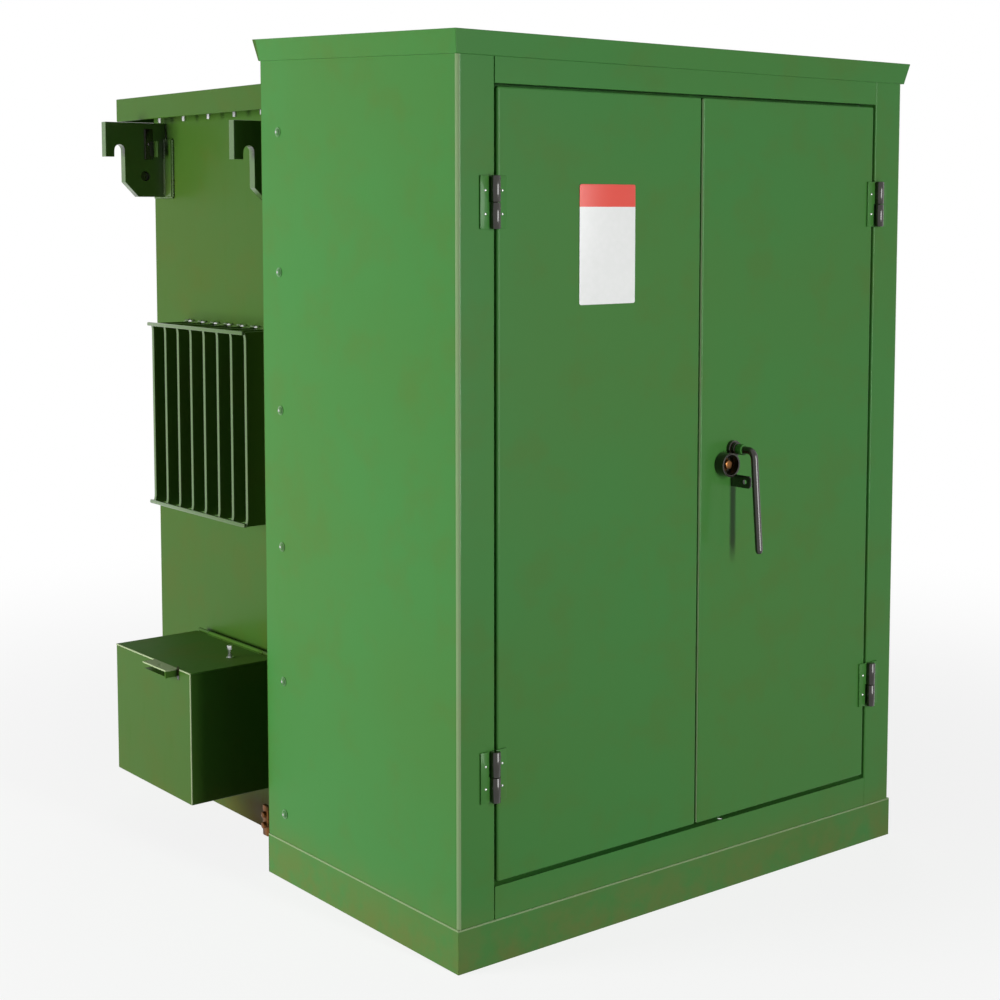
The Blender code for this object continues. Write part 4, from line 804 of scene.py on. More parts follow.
# Swing handle, lock cup, padlock tab and latch
handle = {
    "plate": 0.0130, "soft": 0.0016, "standoff": 0.0095, "thick": 0.0080, "shaft": 0.0080,
    "shaftIn": 0.0035, "hub": 0.0110, "hubLong": 0.0160, "hubSoft": 0.0014, "rod": 0.0075,
    "rodIn": 0.004, "reach": 0.0620, "lean": 0.0160, "bend": 0.0160,
    "boss": 0.0165, "bossHigh": 0.0090, "bossClear": 0.0005, "bossSoft": 0.001,
    "along": (0.25, 0.5, 0.75, 0.955), "tipTurns": (30, 55, 75, 90), "tipSizes": (0.87, 0.6, 0.28, 0.02),
}
cup = {
    "radius": 0.0245, "wall": 0.0040, "height": 0.0240, "hole": 0.0065, "floor": 0.0006,
    "soft": 0.0010,
}
lockBolt = {
    "out": [(0, -0.0045), (0.006, -0.0045), (0.006, 0.0008), (0.014, 0.0008), (0.014, 0.0045), (0, 0.0045)],
    "soft": 0.0006, "head": 0.010, "headTall": 0.014, "headOut": 0.010, "headSoft": 0.0009,
}
tab = {
    "aside": 0.0225, "drop": 0.0345, "thick": 0.0050, "tall": 0.0250, "reach": 0.0530,
    "corner": 0.0060, "hole": 0.0050, "holeIn": 0.0140, "soft": 0.0006, "past": 0.01,
}
latch = {
    "offset": 0.0130, "soft": 0.0005, "shortest": 0.0025, "nut": 0.0150, "nutTall": 0.0050,
    "nutIn": 0.0022,
}


def swingHandle():
    shaft, size = middle("latch_cam"), handle
    origin = Vector((shaft.x, doorFace, shaft.z))
    faceOut = size["standoff"] + size["thick"]
    plate = newMesh()
    outline = drum(size["plate"], size["standoff"], faceOut)
    turned(plate, softProfile(outline, size["soft"]), origin, outward, 64)
    turned(plate, drum(size["shaft"], -size["shaftIn"], size["standoff"]), origin, outward, 32)
    finished("handle_plate", plate, "handle", "black_steel", ["door_handle"])
    hub = newMesh()
    outline = drum(size["hub"], faceOut, faceOut + size["hubLong"])
    turned(hub, softProfile(outline, size["hubSoft"]), origin, outward, 40)
    finished("handle_hub", hub, "handle", "green_paint")
    handleRod(shaft, faceOut)
    boss = newMesh()
    inner, outer = size["shaft"] + size["bossClear"], size["boss"]
    tall, soft = size["bossHigh"], size["bossSoft"]
    outline = [(inner, 0), (outer, 0), (outer, tall - soft), (outer - soft, tall), (inner, tall)]
    turned(boss, outline, origin, outward, 40)
    finished("handle_boss", boss, "right_door", "black_steel", ["right_door"])


def handleRod(shaft, faceOut):
    bend, reach, thick = handle["bend"], handle["reach"], handle["rod"]
    path = [(faceOut - handle["rodIn"], shaft.z)]
    path += arcPoints((reach - bend, shaft.z - bend), bend, 90, 5, 10)
    slope = Vector((handle["lean"], low("door_handle").z - path[-1][1]))
    path += [tuple(Vector(path[-1]) + slope * share) for share in handle["along"]]
    tip, along = Vector(path[-1]), slope.normalized() * thick
    path += [tuple(tip + along * math.sin(math.radians(turn))) for turn in handle["tipTurns"]]
    count = len(path) - 1
    shrink = {count - 3 + i: size for i, size in enumerate(handle["tipSizes"])}  # a rounded end
    places = [(shaft.x, doorFace - out, z) for out, z in path]
    rod = newMesh()
    tube(rod, places, thick, 24, lambda t: shrink.get(round(t * count), 1.0))
    finished("handle_rod", rod, "handle", "black_steel", angle=60)


def lockCup():
    bolt = middle("penta_bolt")
    origin = Vector((bolt.x, doorFace, bolt.z))
    radius, inner, tall = cup["radius"], cup["radius"] - cup["wall"], cup["height"]
    hole, floor = cup["hole"], cup["floor"]
    shell = newMesh()
    outline = [(hole, 0), (radius, 0), (radius, tall), (inner, tall), (inner, floor), (hole, floor)]
    turned(shell, softProfile(outline, cup["soft"]), origin, outward, 64)
    finished("lock_cup", shell, "right_door", "black_steel")
    screw, head = newMesh(), newMesh()
    turned(screw, softProfile(lockBolt["out"], lockBolt["soft"]), origin, outward, 32)
    radius, tall = lockBolt["head"], lockBolt["headTall"]
    bmesh.ops.create_cone(head, cap_ends=True, segments=5, radius1=radius, radius2=radius, depth=tall)
    rounded(head, lockBolt["headSoft"], 2, isSharp)
    place = facing(origin + outward * lockBolt["headOut"], outward)
    bmesh.ops.transform(head, matrix=place, verts=head.verts)
    join(screw, head)
    finished("five_sided_bolt", screw, "penta_bolt", "bronze", ["penta_bolt"])
    padlockTab(origin)


def padlockTab(origin):
    plate, hole = newMesh(), newMesh()
    x, z = origin.x + tab["aside"], origin.z - tab["drop"]
    half, reach, corner = tab["tall"] / 2, tab["reach"], tab["corner"]
    outline = [(0, -half)] + arcPoints((reach - corner, corner - half), corner, -90, 0, 5)
    outline += arcPoints((reach - corner, half - corner), corner, 0, 90, 5) + [(0, half)]
    sheetOutline(plate, outline, lambda out, rise: (x, doorFace - out, z + rise), (tab["thick"], 0, 0))
    rounded(plate, tab["soft"], 2, lambda edge: isSharp(edge, 60))
    y = doorFace - reach + tab["holeIn"]
    tube(hole, [(x - tab["past"], y, z), (x + 2 * tab["past"], y, z)], tab["hole"], 24)
    finished("padlock_tab", drilled(plate, hole), "right_door", "black_steel")


def latchParts():
    shaft = middle("latch_cam")
    for node in ("latch_cam", "upper_latch_rod", "lower_latch_rod"):
        bm = nodeMesh(node)
        rounded(bm, latch["soft"], 2, lambda edge: isLong(edge, 50, latch["shortest"]))
        finished(node + "_plated", bm, bodyOf[node], "zinc_steel", [node], flat=True)
    nut = newMesh()
    place = (shaft.x, high("latch_cam").y - latch["nutIn"], shaft.z)
    hexHead(nut, place, (0, 1, 0), latch["nut"], latch["nutTall"])
    finished("cam_nut", nut, "handle", "zinc_steel")
    print("lock fitted")


# Bare plate on the left door
def doorPlate():
    plate, size, corner = newMesh(), labelPlate, labelPlate["corner"]
    left, right = size["left"] + corner, size["right"] - corner
    foot, top = size["foot"] + corner, size["top"] - corner
    outline = []
    for x, z, start in ((right, foot, -90), (right, top, 0), (left, top, 90), (left, foot, 180)):
        outline += arcPoints((x, z), corner, start, start + 90, 5)
    back = doorFace - size["back"]
    sheetOutline(plate, outline, lambda x, z: (x, back - size["thick"], z), (0, size["thick"], 0))
    rounded(plate, size["soft"], 2, lambda edge: isSharp(edge, 60))
    finished("door_plate", plate, "left_door", "plate")


# Fasteners on the cabinet and the cover
sideBolt = {
    "count": 6, "top": 1.5420, "pitch": 0.2803, "in": 0.0645, "washer": 0.0100, "washerThick": 0.0014,
    "soft": 0.0005, "radius": 0.0075, "height": 0.0042, "headOut": 0.0012,
    "pin": 0.0028, "pinHeight": 0.0012, "pinOut": 0.0006,
}
coverBolt = {
    "x": 0.5000, "first": 0.0210, "pitch": 0.1150, "count": 6, "backPitch": 0.16, "backIn": 0.025,
    "flange": 1.632, "end": 1.5900, "across": 0.0160, "tall": 0.0100, "washer": 0.0115,
    "stud": 0.0050, "soft": 0.001,
}


def fasteners():
    heads, boltGlints, size = newMesh(), newMesh(), sideBolt
    washer = softProfile(drum(size["washer"], 0, size["washerThick"]), size["soft"], 2)
    y = high("left_side_panel").y - size["in"]
    for side, face in ((-1, low("left_side_panel").x), (1, high("right_side_panel").x)):
        axis = (side, 0, 0)
        for i in range(size["count"]):
            z = size["top"] - size["pitch"] * i
            turned(heads, washer, (face, y, z), axis, 20)
            domeHead(heads, (face + side * size["headOut"], y, z), axis, size["radius"], size["height"])
            # a zinc dot on each bolt's crown: a painted highlight
            pinX = face + side * (size["height"] + size["pinOut"])
            domeHead(boltGlints, (pinX, y, z), axis, size["pin"], size["pinHeight"], 12)
    finished("side_bolts", heads, "housing", "glossy", slot="green_paint")
    finished("side_bolt_glints", boltGlints, "housing", "zinc_steel")
    studs, size = newMesh(), coverBolt
    flange, steps = size["flange"], range(size["count"])
    row = [(side * size["x"], size["first"] + size["pitch"] * i) for side in (-1, 1) for i in steps]
    backRow = high("tank").y - size["backIn"]
    row += [(x * size["backPitch"], backRow) for x in (-2.5, -1.5, -0.5, 0.5, 1.5, 2.5)]
    stud = softProfile(drum(size["stud"], 0, flange - size["end"]), size["soft"], 2)
    for x, y in row:
        hexHead(studs, (x, y, flange), -up, size["across"], size["tall"], size["washer"])
        turned(studs, stud, (x, y, flange), -up, 16)
    finished("cover_bolts", studs, "housing", "zinc_steel")
    print("bolts driven:", sideBolt["count"] * 2 + len(row))


# Lifting lugs: flame-cut hook plates welded to a pad, the rear ones with a dark clip and an ear
lug = {
    "edge": 0.0046, "shortest": 0.012, "plateHalf": 0.010, "soft": 0.0012,
    "padHigh": 0.132, "padHalf": 0.043, "padThick": 0.0072, "past": 0.001,
    "bead": 0.0028, "beadOut": 0.0020, "beadAside": 0.0015, "beadRise": 0.004,
    "plugIn": 0.1000, "plugAside": 0.006, "plugRise": 0.048, "plugSoft": 0.001,
    "shadedPlug": [(0, -0.003), (0.0118, -0.003), (0.0118, 0.009), (0.006, 0.009), (0, 0.007)],
}
clip = {
    "out": 0.047, "drop": 0.014, "tall": 0.071, "half": 0.0105, "thick": 0.004,
    "rivet": 0.0040, "rivetHeight": 0.0024,
}
ear = {"in": 0.014, "half": 0.002, "reach": 0.022, "foot": 0.066, "top": 0.028}


def liftingLugs():
    half, bead, past = lug["padHalf"], lug["bead"], lug["past"]
    aside = lug["plateHalf"] + lug["beadAside"]
    for word in ("left_front", "left_back", "right_front", "right_back"):
        node = word + "_lug"
        bm = nodeMesh(node)
        rounded(bm, lug["edge"], 4, lambda edge: isLong(edge, 45, lug["shortest"]))
        finished(node + "_plate", bm, "housing", "glossy", [node], flat=True, slot="green_paint")
        lowest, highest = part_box(node)
        side = -1 if highest.x < 0 else 1
        wall, tip = (highest.x, lowest.x) if side < 0 else (lowest.x, highest.x)
        beads, pad = newMesh(), newMesh()
        foot, top, centre = lowest.z, lowest.z + lug["padHigh"], middle(node).y
        root, step = wall + side * lug["beadOut"], wall + side * lug["padThick"]
        block(pad, (wall, centre - half, foot + past), (step, centre + half, top))
        rounded(pad, lug["soft"], 2, isSharp)
        finished(word + "_lug_pad", pad, "housing", "glossy", slot="green_paint")
        ends = (centre - half - past, centre + half + past)
        for y in ends:
            weldBead(beads, (root, y, foot), (root, y, top), bead)
        for z in (foot - past, top + past):
            weldBead(beads, (root, ends[0], z), (root, ends[1], z), bead)
        for y in (centre - aside, centre + aside):
            weldBead(beads, (step, y, foot + lug["beadRise"]), (step, y, top), bead)
        finished(word + "_lug_welds", beads, "housing", "glossy", slot="green_paint")
        # a black plug closes the lug's eye as a blind hole; its black colour is painted shade of the hole
        shadedPlug = newMesh()
        eye = Vector((tip - side * lug["plugIn"], centre + lug["plugAside"], foot + lug["plugRise"]))
        turned(shadedPlug, softProfile(lug["shadedPlug"], lug["plugSoft"], 2), eye, outward, 32)
        finished(word + "_lug_plug_shade", shadedPlug, "housing", "black_steel")
        if "back" in word:
            front = centre - lug["plateHalf"]
            lugClip(word, wall + side * clip["out"], side, front, highest.z - clip["drop"])
    print("lugs welded")


def lugClip(word, x, side, front, top):
    strip, fold = newMesh(), newMesh()
    half, face, foot = clip["half"], front - clip["thick"], top - clip["tall"]
    block(strip, (x - half, face, foot), (x + half, front, top))
    rounded(strip, lug["soft"], 2, isSharp)
    domeHead(strip, (x, face, top - clip["tall"] / 2), outward, clip["rivet"], clip["rivetHeight"])
    finished(word + "_lug_clip", strip, "housing", "black_steel")
    root, half = x - side * ear["in"], ear["half"]
    lowest = (root - half, front - ear["reach"], top - ear["foot"])
    block(fold, lowest, (root + half, front, top - ear["top"]))
    rounded(fold, lug["soft"], 2, isSharp)
    finished(word + "_lug_ear", fold, "housing", "glossy", slot="green_paint")


# Cooling fins: flat panels welded to a base plate, flared at their ends to meet two rails
fin = {
    "count": 8, "pitch": 0.0594, "inset": 0.020, "half": 0.0046, "soft": 0.0040, "short": 0.002,
    "flare": 0.0070, "flareLong": 0.020, "shortest": 0.0008, "bendNear": 0.004, "base": 0.0040,
    "rail": 0.0085, "railPast": 0.0110, "railShort": 0.0030, "railSoft": 0.0022,
    "foot": 0.0055, "beadHalf": 0.008, "bead": 0.0030, "beadPitch": 0.0055, "beadPast": 0.0005,
    "sideBead": 0.0026, "speck": 0.0042, "speckWide": 1.6, "speckBack": 0.30, "speckSunk": 0.0006,
}


def finOutline(inner, outer, bottom, top, side):
    turns = [math.radians(angle) for angle in (0, 18, 36, 54, 72, 90)]
    depths = [side * fin["flare"] * math.sin(turn) for turn in turns]
    curve = [(outer - depth, fin["flareLong"] * (1 - math.cos(turn))) for depth, turn in zip(depths, turns)]
    outline = [(inner, bottom)] + [(x, bottom + rise) for x, rise in curve]
    return outline + [(x, top - rise) for x, rise in reversed(curve)] + [(inner, top)]


def isFinTip(edge, reach):
    return isLong(edge, 60, fin["shortest"]) and abs(middleOf(edge).x) > reach


def radiators():
    pitch, half, rail, past = fin["pitch"], fin["half"], fin["rail"], fin["beadPast"]
    for word, side in (("left", -1), ("right", 1)):
        node = word + "_radiator"
        lowest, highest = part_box(node)
        wall, tip = (highest.x, lowest.x) if side < 0 else (lowest.x, highest.x)
        bottom, top, short = lowest.z, highest.z, fin["short"]
        rows = [lowest.y + fin["inset"] + pitch * i for i in range(fin["count"])]
        inner, outer = wall + side * short, tip - side * short
        outline = finOutline(inner, outer, bottom + short, top - short, side)
        tipFrom = abs(outer - side * fin["flare"]) - fin["bendNear"]
        bm = newMesh()
        for y in rows:
            panel = newMesh()
            sheetOutline(panel, outline, lambda x, z: (x, y - half, z), (0, 2 * half, 0))
            rounded(panel, fin["soft"], 4, lambda edge: isFinTip(edge, tipFrom))
            join(bm, panel)
        near, far = sorted((wall, wall + side * fin["base"]))
        block(bm, (near, lowest.y, bottom), (far, highest.y, top))
        finished(word + "_cooling_fins", bm, "housing", "glossy", [node], flat=True, slot="green_paint")
        rails = newMesh()
        near, far = sorted((tip, tip - side * rail))
        for z in (bottom, top - rail):
            block(rails, (near, rows[0] - fin["railShort"], z), (far, rows[-1] + fin["railPast"], z + rail))
        rounded(rails, fin["railSoft"], 3, isSharp)
        finished(word + "_fin_rails", rails, "housing", "glossy", slot="green_paint")
        beads, finGlints = newMesh(), newMesh()
        foot, long, speck = wall + side * fin["foot"], fin["beadHalf"], fin["speck"]
        for y in rows:
            for z in (bottom - past, top + past):
                weldBead(beads, (foot, y - long, z), (foot, y + long, z), fin["bead"], fin["beadPitch"])
            # a zinc dome at the top of each fin's base: bright specks of painted highlight
            place = (foot, y - pitch * fin["speckBack"], top - fin["speckSunk"])
            domeHead(finGlints, place, up, speck * fin["speckWide"], speck)
        for y in (lowest.y + past, highest.y - past):
            weldBead(beads, (inner, y, bottom), (inner, y, top), fin["sideBead"])
        finished(word + "_fin_welds", beads, "housing", "glossy", slot="green_paint")
        finished(word + "_fin_glints", finGlints, "housing", "zinc_steel")
    print("fins made")


def middleOf(edge):
    return (edge.verts[0].co + edge.verts[1].co) / 2


# Side box: the lid without its stud, a plated stud, and the drain valve inside
# a thin black strip on the box face beside the hasp: painted shade of the slot there
slotShade = {
    "x": -0.7000, "y": 0.1710, "wide": 0.0075, "drop": 0.0300, "below": 0.001,
    "out": 0.0006, "in": 0.0004,
}
lidStud = {
    "crown": 0.0005, "near": 0.0058, "foot": 0.0270, "radius": 0.0045, "across": 0.0135,
    "head": 0.0090, "shank": 0.0180, "past": 0.001,
    "washer": 0.0085, "washerThick": 0.0016, "washerSoft": 0.0005,
}
lidEdge = {"soft": 0.0006, "shortest": 0.012}


def sideBox():
    node, size = "valve_box_lid", lidStud
    bm, lidTop, tall = nodeMesh(node), high("valve_box").z, high("valve_box_lid").z
    crown = [vert for vert in bm.verts if vert.co.z > tall - size["crown"]]
    centre = sum((vert.co for vert in crown), Vector()) / len(crown)
    foot, studFaces = tall - size["foot"], []
    for face in bm.faces:
        spot = face.calc_center_median()
        if (spot.xy - centre.xy).length < size["near"] and spot.z > foot:
            studFaces.append(face)
    bmesh.ops.delete(bm, geom=studFaces, context="FACES")
    bmesh.ops.holes_fill(bm, edges=[edge for edge in bm.edges if edge.is_boundary], sides=0)
    rounded(bm, lidEdge["soft"], 2, lambda edge: isLong(edge, 60, lidEdge["shortest"]))
    finished("box_lid_sheet", bm, "box_lid", "lidPaint", [node], flat=True, slot="green_paint")
    # painted shade: a black strip standing for the dark slot beside the hasp
    slotShadeStrip, hasp = newMesh(), slotShade
    lowest = (hasp["x"] - hasp["out"], hasp["y"], lidTop - hasp["drop"])
    block(slotShadeStrip, lowest, (hasp["x"] + hasp["in"], hasp["y"] + hasp["wide"], lidTop - hasp["below"]))
    finished("hasp_slot_shade", slotShadeStrip, "housing", "black_steel")
    stud, base = newMesh(), Vector((centre.x, centre.y, foot))
    washer = drum(size["washer"], 0, size["washerThick"])
    turned(stud, softProfile(washer, size["washerSoft"], 2), base, up, 28)
    turned(stud, drum(size["radius"], 0, size["shank"] + size["past"]), base, up, 24)
    hexHead(stud, base + up * size["shank"], up, size["across"], size["head"])
    finished("lid_stud", stud, "box_lid", "zinc_steel")


valve = {
    "out": [
        (0, 0), (0.036, 0), (0.036, 0.010), (0.018, 0.014), (0.018, 0.030), (0.026, 0.042),
        (0.026, 0.072), (0.017, 0.084), (0.017, 0.105), (0, 0.105),
    ],
    "flange": 0.036, "soft": 0.0025, "boltRing": 0.028, "boltOut": 0.010, "bolt": 0.0110,
    "boltTall": 0.0060, "stem": [(0, 0), (0.015, 0), (0.015, 0.060), (0.0063, 0.060)],
    "stemOut": 0.057, "stemSoft": 0.0015,
}
wheel = {
    "radius": 0.040, "wire": 0.0050, "drop": 0.008, "spoke": 0.0036, "spokeFrom": 0.006, "soft": 0.001,
    "hub": [(0, -0.055), (0.006, -0.055), (0.006, -0.010), (0.010, -0.010), (0.010, 0.008), (0, 0.008)],
}


def drainValve():
    wall, centre = high("drain_valve").x, middle("drain_valve")
    base = Vector((wall, centre.y, low("drain_valve").z + valve["flange"]))
    body, reach = newMesh(), valve["boltRing"]
    turned(body, softProfile(valve["out"], valve["soft"]), base, (-1, 0, 0), 48)
    for i in range(4):
        turn = math.radians(45 + 90 * i)
        spot = base + Vector((-valve["boltOut"], reach * math.cos(turn), reach * math.sin(turn)))
        hexHead(body, spot, (-1, 0, 0), valve["bolt"], valve["boltTall"])
    stem = Vector((wall - valve["stemOut"], base.y, base.z))
    turned(body, softProfile(valve["stem"], valve["stemSoft"]), stem, up, 32)
    finished("drain_valve_body", body, "housing", "bronze", ["drain_valve"], angle=45)
    turning, hub = newMesh(), middle("drain_handwheel")
    origin = Vector((hub.x, hub.y, high("drain_handwheel").z - wheel["drop"]))
    turned(turning, wireRing(wheel["radius"], wheel["wire"], 12), origin, up, 56)
    turned(turning, softProfile(wheel["hub"], wheel["soft"]), origin, up, 32)
    for i in range(4):
        turn = math.tau * i / 4
        along = Vector((math.cos(turn), math.sin(turn), 0))
        path = [origin + along * wheel["spokeFrom"], origin + along * wheel["radius"]]
        tube(turning, path, wheel["spoke"], 10)
    finished("drain_wheel", turning, "handwheel", "red_paint", ["drain_handwheel"], angle=50)


clampBar = {
    "back": 0.012, "out": 0.0220, "thick": 0.0080, "half": 0.0110, "past": 0.0070, "soft": 0.0030,
    "pitch": 0.0240, "above": 0.0020, "shank": 0.0070, "shankLong": 0.012, "shankFrom": 0.011,
    "nut": 0.0150, "nutTall": 0.0065,
}


def groundClamp():
    node, size = "ground_connector", clampBar
    lowest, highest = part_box(node)
    wall, y, z = highest.x, middle(node).y, middle(node).z
    clamp = newMesh()
    block(clamp, (wall - size["back"], lowest.y, lowest.z), (wall, highest.y, highest.z))
    inner, outer = wall - size["out"], wall - size["out"] - size["thick"]
    half, past = size["half"], size["past"]
    block(clamp, (outer, y - half, lowest.z - past), (inner, y + half, highest.z + past))
    rounded(clamp, size["soft"], 3, isSharp)
    for side in (-0.5, 0.5):
        rise = z + size["above"] + size["pitch"] * side
        shank = drum(size["shank"], 0, size["shankLong"])
        turned(clamp, shank, (wall - size["shankFrom"], y, rise), (-1, 0, 0), 24)
        hexHead(clamp, (outer, y, rise), (-1, 0, 0), size["nut"], size["nutTall"])
    finished("ground_clamp", clamp, "housing", "bronze", [node], angle=45)
    print("side box fitted")


# Terminals and fittings on the tank's front plate: the outlines give radius and distance in front
highBushing = [
    (0, -0.085), (0.014, -0.085), (0.020, -0.060), (0.028, -0.012), (0.028, seat), (0.046, seat),
    (0.046, 0.014), (0.036, 0.016), (0.034, 0.052), (0.024, 0.100), (0.018, 0.118), (0.010, 0.118),
    (0.010, 0.070), (0, 0.070),
]
lowBushing = [
    (0, -0.075), (0.016, -0.075), (0.016, -0.040), (0.030, -0.030), (0.030, seat), (0.046, seat),
    (0.046, 0.014), (0.036, 0.018), (0.034, 0.034), (0.0385, 0.038), (0.0385, 0.042),
    (0.0335, 0.046), (0.0325, 0.060), (0.032, 0.070), (0.019, 0.080), (0.019, 0.100), (0, 0.100),
]
porcelain = {"soft": 0.0016, "neck": 0.118, "cut": 0.013, "cutSlack": 0.0006}
collar = {"radius": 0.0185, "from": 0.099, "to": 0.118, "soft": 0.0012}
ring = {
    "radius": 0.0455, "band": 0.012, "from": 0.0142, "thick": 0.004, "bolts": 4, "boltIn": 0.0065,
    "across": 0.0100, "tall": 0.0050,
}


def clampRing(node, place):
    bm, radius, out = newMesh(), ring["radius"], ring["from"] + ring["thick"]
    turned(bm, drum(radius, ring["from"], out, radius - ring["band"]), place, outward, 48)
    for i in range(ring["bolts"]):
        spot = clockSpot(place, radius - ring["boltIn"], out, 360 * (i + 0.5) / ring["bolts"])
        hexHead(bm, spot, outward, ring["across"], ring["tall"])
    finished(node + "_clamp", bm, "housing", "zinc_steel", angle=40)


def bushings():
    for number in (1, 2, 3):
        node = f"hv_bushing_{number}"
        bm, place = newMesh(), onPlate(node)
        turned(bm, softProfile(highBushing, porcelain["soft"]), place, outward, 56)
        finished(node + "_well", bm, "housing", "grey_moulding", [node], angle=40)
        clampRing(node, place)
    for number in range(4):
        node = f"lv_bushing_{number}"
        spade, place = nodeMesh(node), onPlate(node)
        inner = plateFace - porcelain["neck"] + porcelain["cut"] - porcelain["cutSlack"]
        behind = [face for face in spade.faces if face.calc_center_median().y > inner]
        bmesh.ops.delete(spade, geom=behind, context="FACES")
        bmesh.ops.holes_fill(spade, edges=[edge for edge in spade.edges if edge.is_boundary], sides=0)
        outline = drum(collar["radius"], collar["from"], collar["to"])
        turned(spade, softProfile(outline, collar["soft"]), place, outward, 40)
        finished(node + "_spade", spade, "housing", "brass", [node], angle=40)
        bm = newMesh()
        turned(bm, softProfile(lowBushing, porcelain["soft"]), place, outward, 56)
        finished(node + "_body", bm, "housing", "red_moulding", angle=40)
        clampRing(node, place)
    print("bushings set: 7")


fuse = {
    "tilt": 30.0, "bore": 0.0215, "wall": 0.0045, "inside": 0.240, "outside": 0.075, "lip": 0.003,
    "lipFrom": 0.012, "lipTo": 0.010, "flange": 0.046, "flangeOut": 0.012, "flangeIn": 0.002,
    "flangeSoft": 0.0015, "bolts": 6, "boltRing": 0.0385, "across": 0.0100, "tall": 0.0050,
}
holder = {
    "inside": 0.200, "clear": 0.0008, "gap": 0.0006, "cap": 0.032, "capLong": 0.022, "crown": 0.016,
    "crownOut": 0.030, "soft": 0.0020, "eye": 0.016, "wire": 0.004, "eyeOut": 0.044,
}


def fuses():
    tilt, mouth = math.radians(fuse["tilt"]), fuse["outside"]
    bore, outer = fuse["bore"], fuse["bore"] + fuse["wall"]
    slope = Vector((0, -math.cos(tilt), math.sin(tilt)))
    lip, tail, cap = outer + fuse["lip"], -fuse["inside"], mouth + holder["gap"]
    for number in (1, 2, 3):
        node, held = f"fuse_housing_{number}", f"fuse_holder_{number}"
        rise = fuse["inside"] * math.sin(tilt) + outer * math.cos(tilt)
        origin = Vector((middle(node).x, plateFace, low(node).z + rise))
        bm = newMesh()
        outline = [(bore, tail), (outer, tail), (outer, mouth - fuse["lipFrom"])]
        outline += [(lip, mouth - fuse["lipTo"]), (lip, mouth), (bore, mouth)]
        turned(bm, outline, origin, slope, 48)
        flange = drum(fuse["flange"], seat, fuse["flangeOut"], outer - fuse["flangeIn"])
        turned(bm, softProfile(flange, fuse["flangeSoft"]), origin, outward, 48)
        for i in range(fuse["bolts"]):
            spot = clockSpot(origin, fuse["boltRing"], fuse["flangeOut"], 360 * i / fuse["bolts"])
            hexHead(bm, spot, outward, fuse["across"], fuse["tall"])
        finished(node + "_tube", bm, "housing", "black_moulding", [node], angle=40)
        grip, inner, wide = newMesh(), bore - holder["clear"], holder["cap"]
        crown = cap + holder["crownOut"]
        outline = [(0, -holder["inside"]), (inner, -holder["inside"]), (inner, cap), (wide, cap)]
        outline += [(wide, cap + holder["capLong"]), (holder["crown"], crown), (0, crown)]
        turned(grip, softProfile(outline, holder["soft"]), origin, slope, 48)
        eye = wireRing(holder["eye"], holder["wire"], 10)
        turned(grip, eye, origin + slope * (cap + holder["eyeOut"]), (1, 0, 0), 32)
        finished(held + "_grip", grip, bodyOf[held], "grey_moulding", [held], angle=40)


lever = {
    "out": [
        (0, -0.050), (0.009, -0.050), (0.009, seat), (0.024, seat), (0.024, 0.012), (0.015, 0.014),
        (0.015, 0.051), (0, 0.052),
    ],
    "soft": 0.0012, "gripFrom": 0.030, "gripTo": 0.048, "gripSoft": 0.0045,
    "stop": 0.038, "stopIn": 0.0250, "stopFrom": 0.0004, "stopTo": 0.0024,
    "tick": 0.0008, "tickFrom": 0.030, "tickTo": 0.036, "tickOut": 0.0030,
}
leverGrips = (
    ("switch_handle", "red_paint", 0.110, 0.022), ("tap_changer_handle", "black_moulding", 0.070, 0.018),
)


def turningHandles():
    for node, finish, wide, tall in leverGrips:
        bm, grip, place = newMesh(), newMesh(), onPlate(node)
        turned(bm, softProfile(lever["out"], lever["soft"]), place, outward, 40)
        lowest = place + Vector((-wide / 2, -lever["gripTo"], -tall / 2))
        block(grip, lowest, place + Vector((wide / 2, -lever["gripFrom"], tall / 2)))
        rounded(grip, lever["gripSoft"], 4, isSharp)
        join(bm, grip)
        finished(node + "_lever", bm, bodyOf[node], finish, [node], angle=40)
        dial = newMesh()
        outline = drum(lever["stop"], lever["stopFrom"], lever["stopTo"], lever["stopIn"])
        turned(dial, outline, place, outward, 48)
        for angle in range(18, 180, 18):
            reaches = (lever["tickFrom"], lever["tickTo"])
            path = [clockSpot(place, reach, lever["tickOut"], angle) for reach in reaches]
            tube(dial, path, lever["tick"], 6)
        finished(node + "_stop_ring", dial, "housing", "zinc_steel", angle=40)


gauge = {
    "out": [
        (0, -0.060), (0.018, -0.060), (0.018, seat), (0.050, seat), (0.056, 0.008), (0.056, 0.032),
        (0.048, 0.032), (0.048, 0.024), (0, 0.024),
    ],
    "soft": 0.0014, "screwRing": 0.052, "screwOut": 0.032, "screw": 0.0026, "screwHeight": 0.0012,
    "glass": 0.0475, "glassThick": 0.0008, "glassOut": 0.0250, "sheet": 0.1,
}
needle = {
    "long": 0.034, "tail": 0.010, "out": 0.0275, "thick": 0.0013, "root": 1.3, "taper": 0.9,
    "hub": 0.0045, "hubFrom": 0.0255, "hubTo": 0.0290, "hubSoft": 0.001,
}


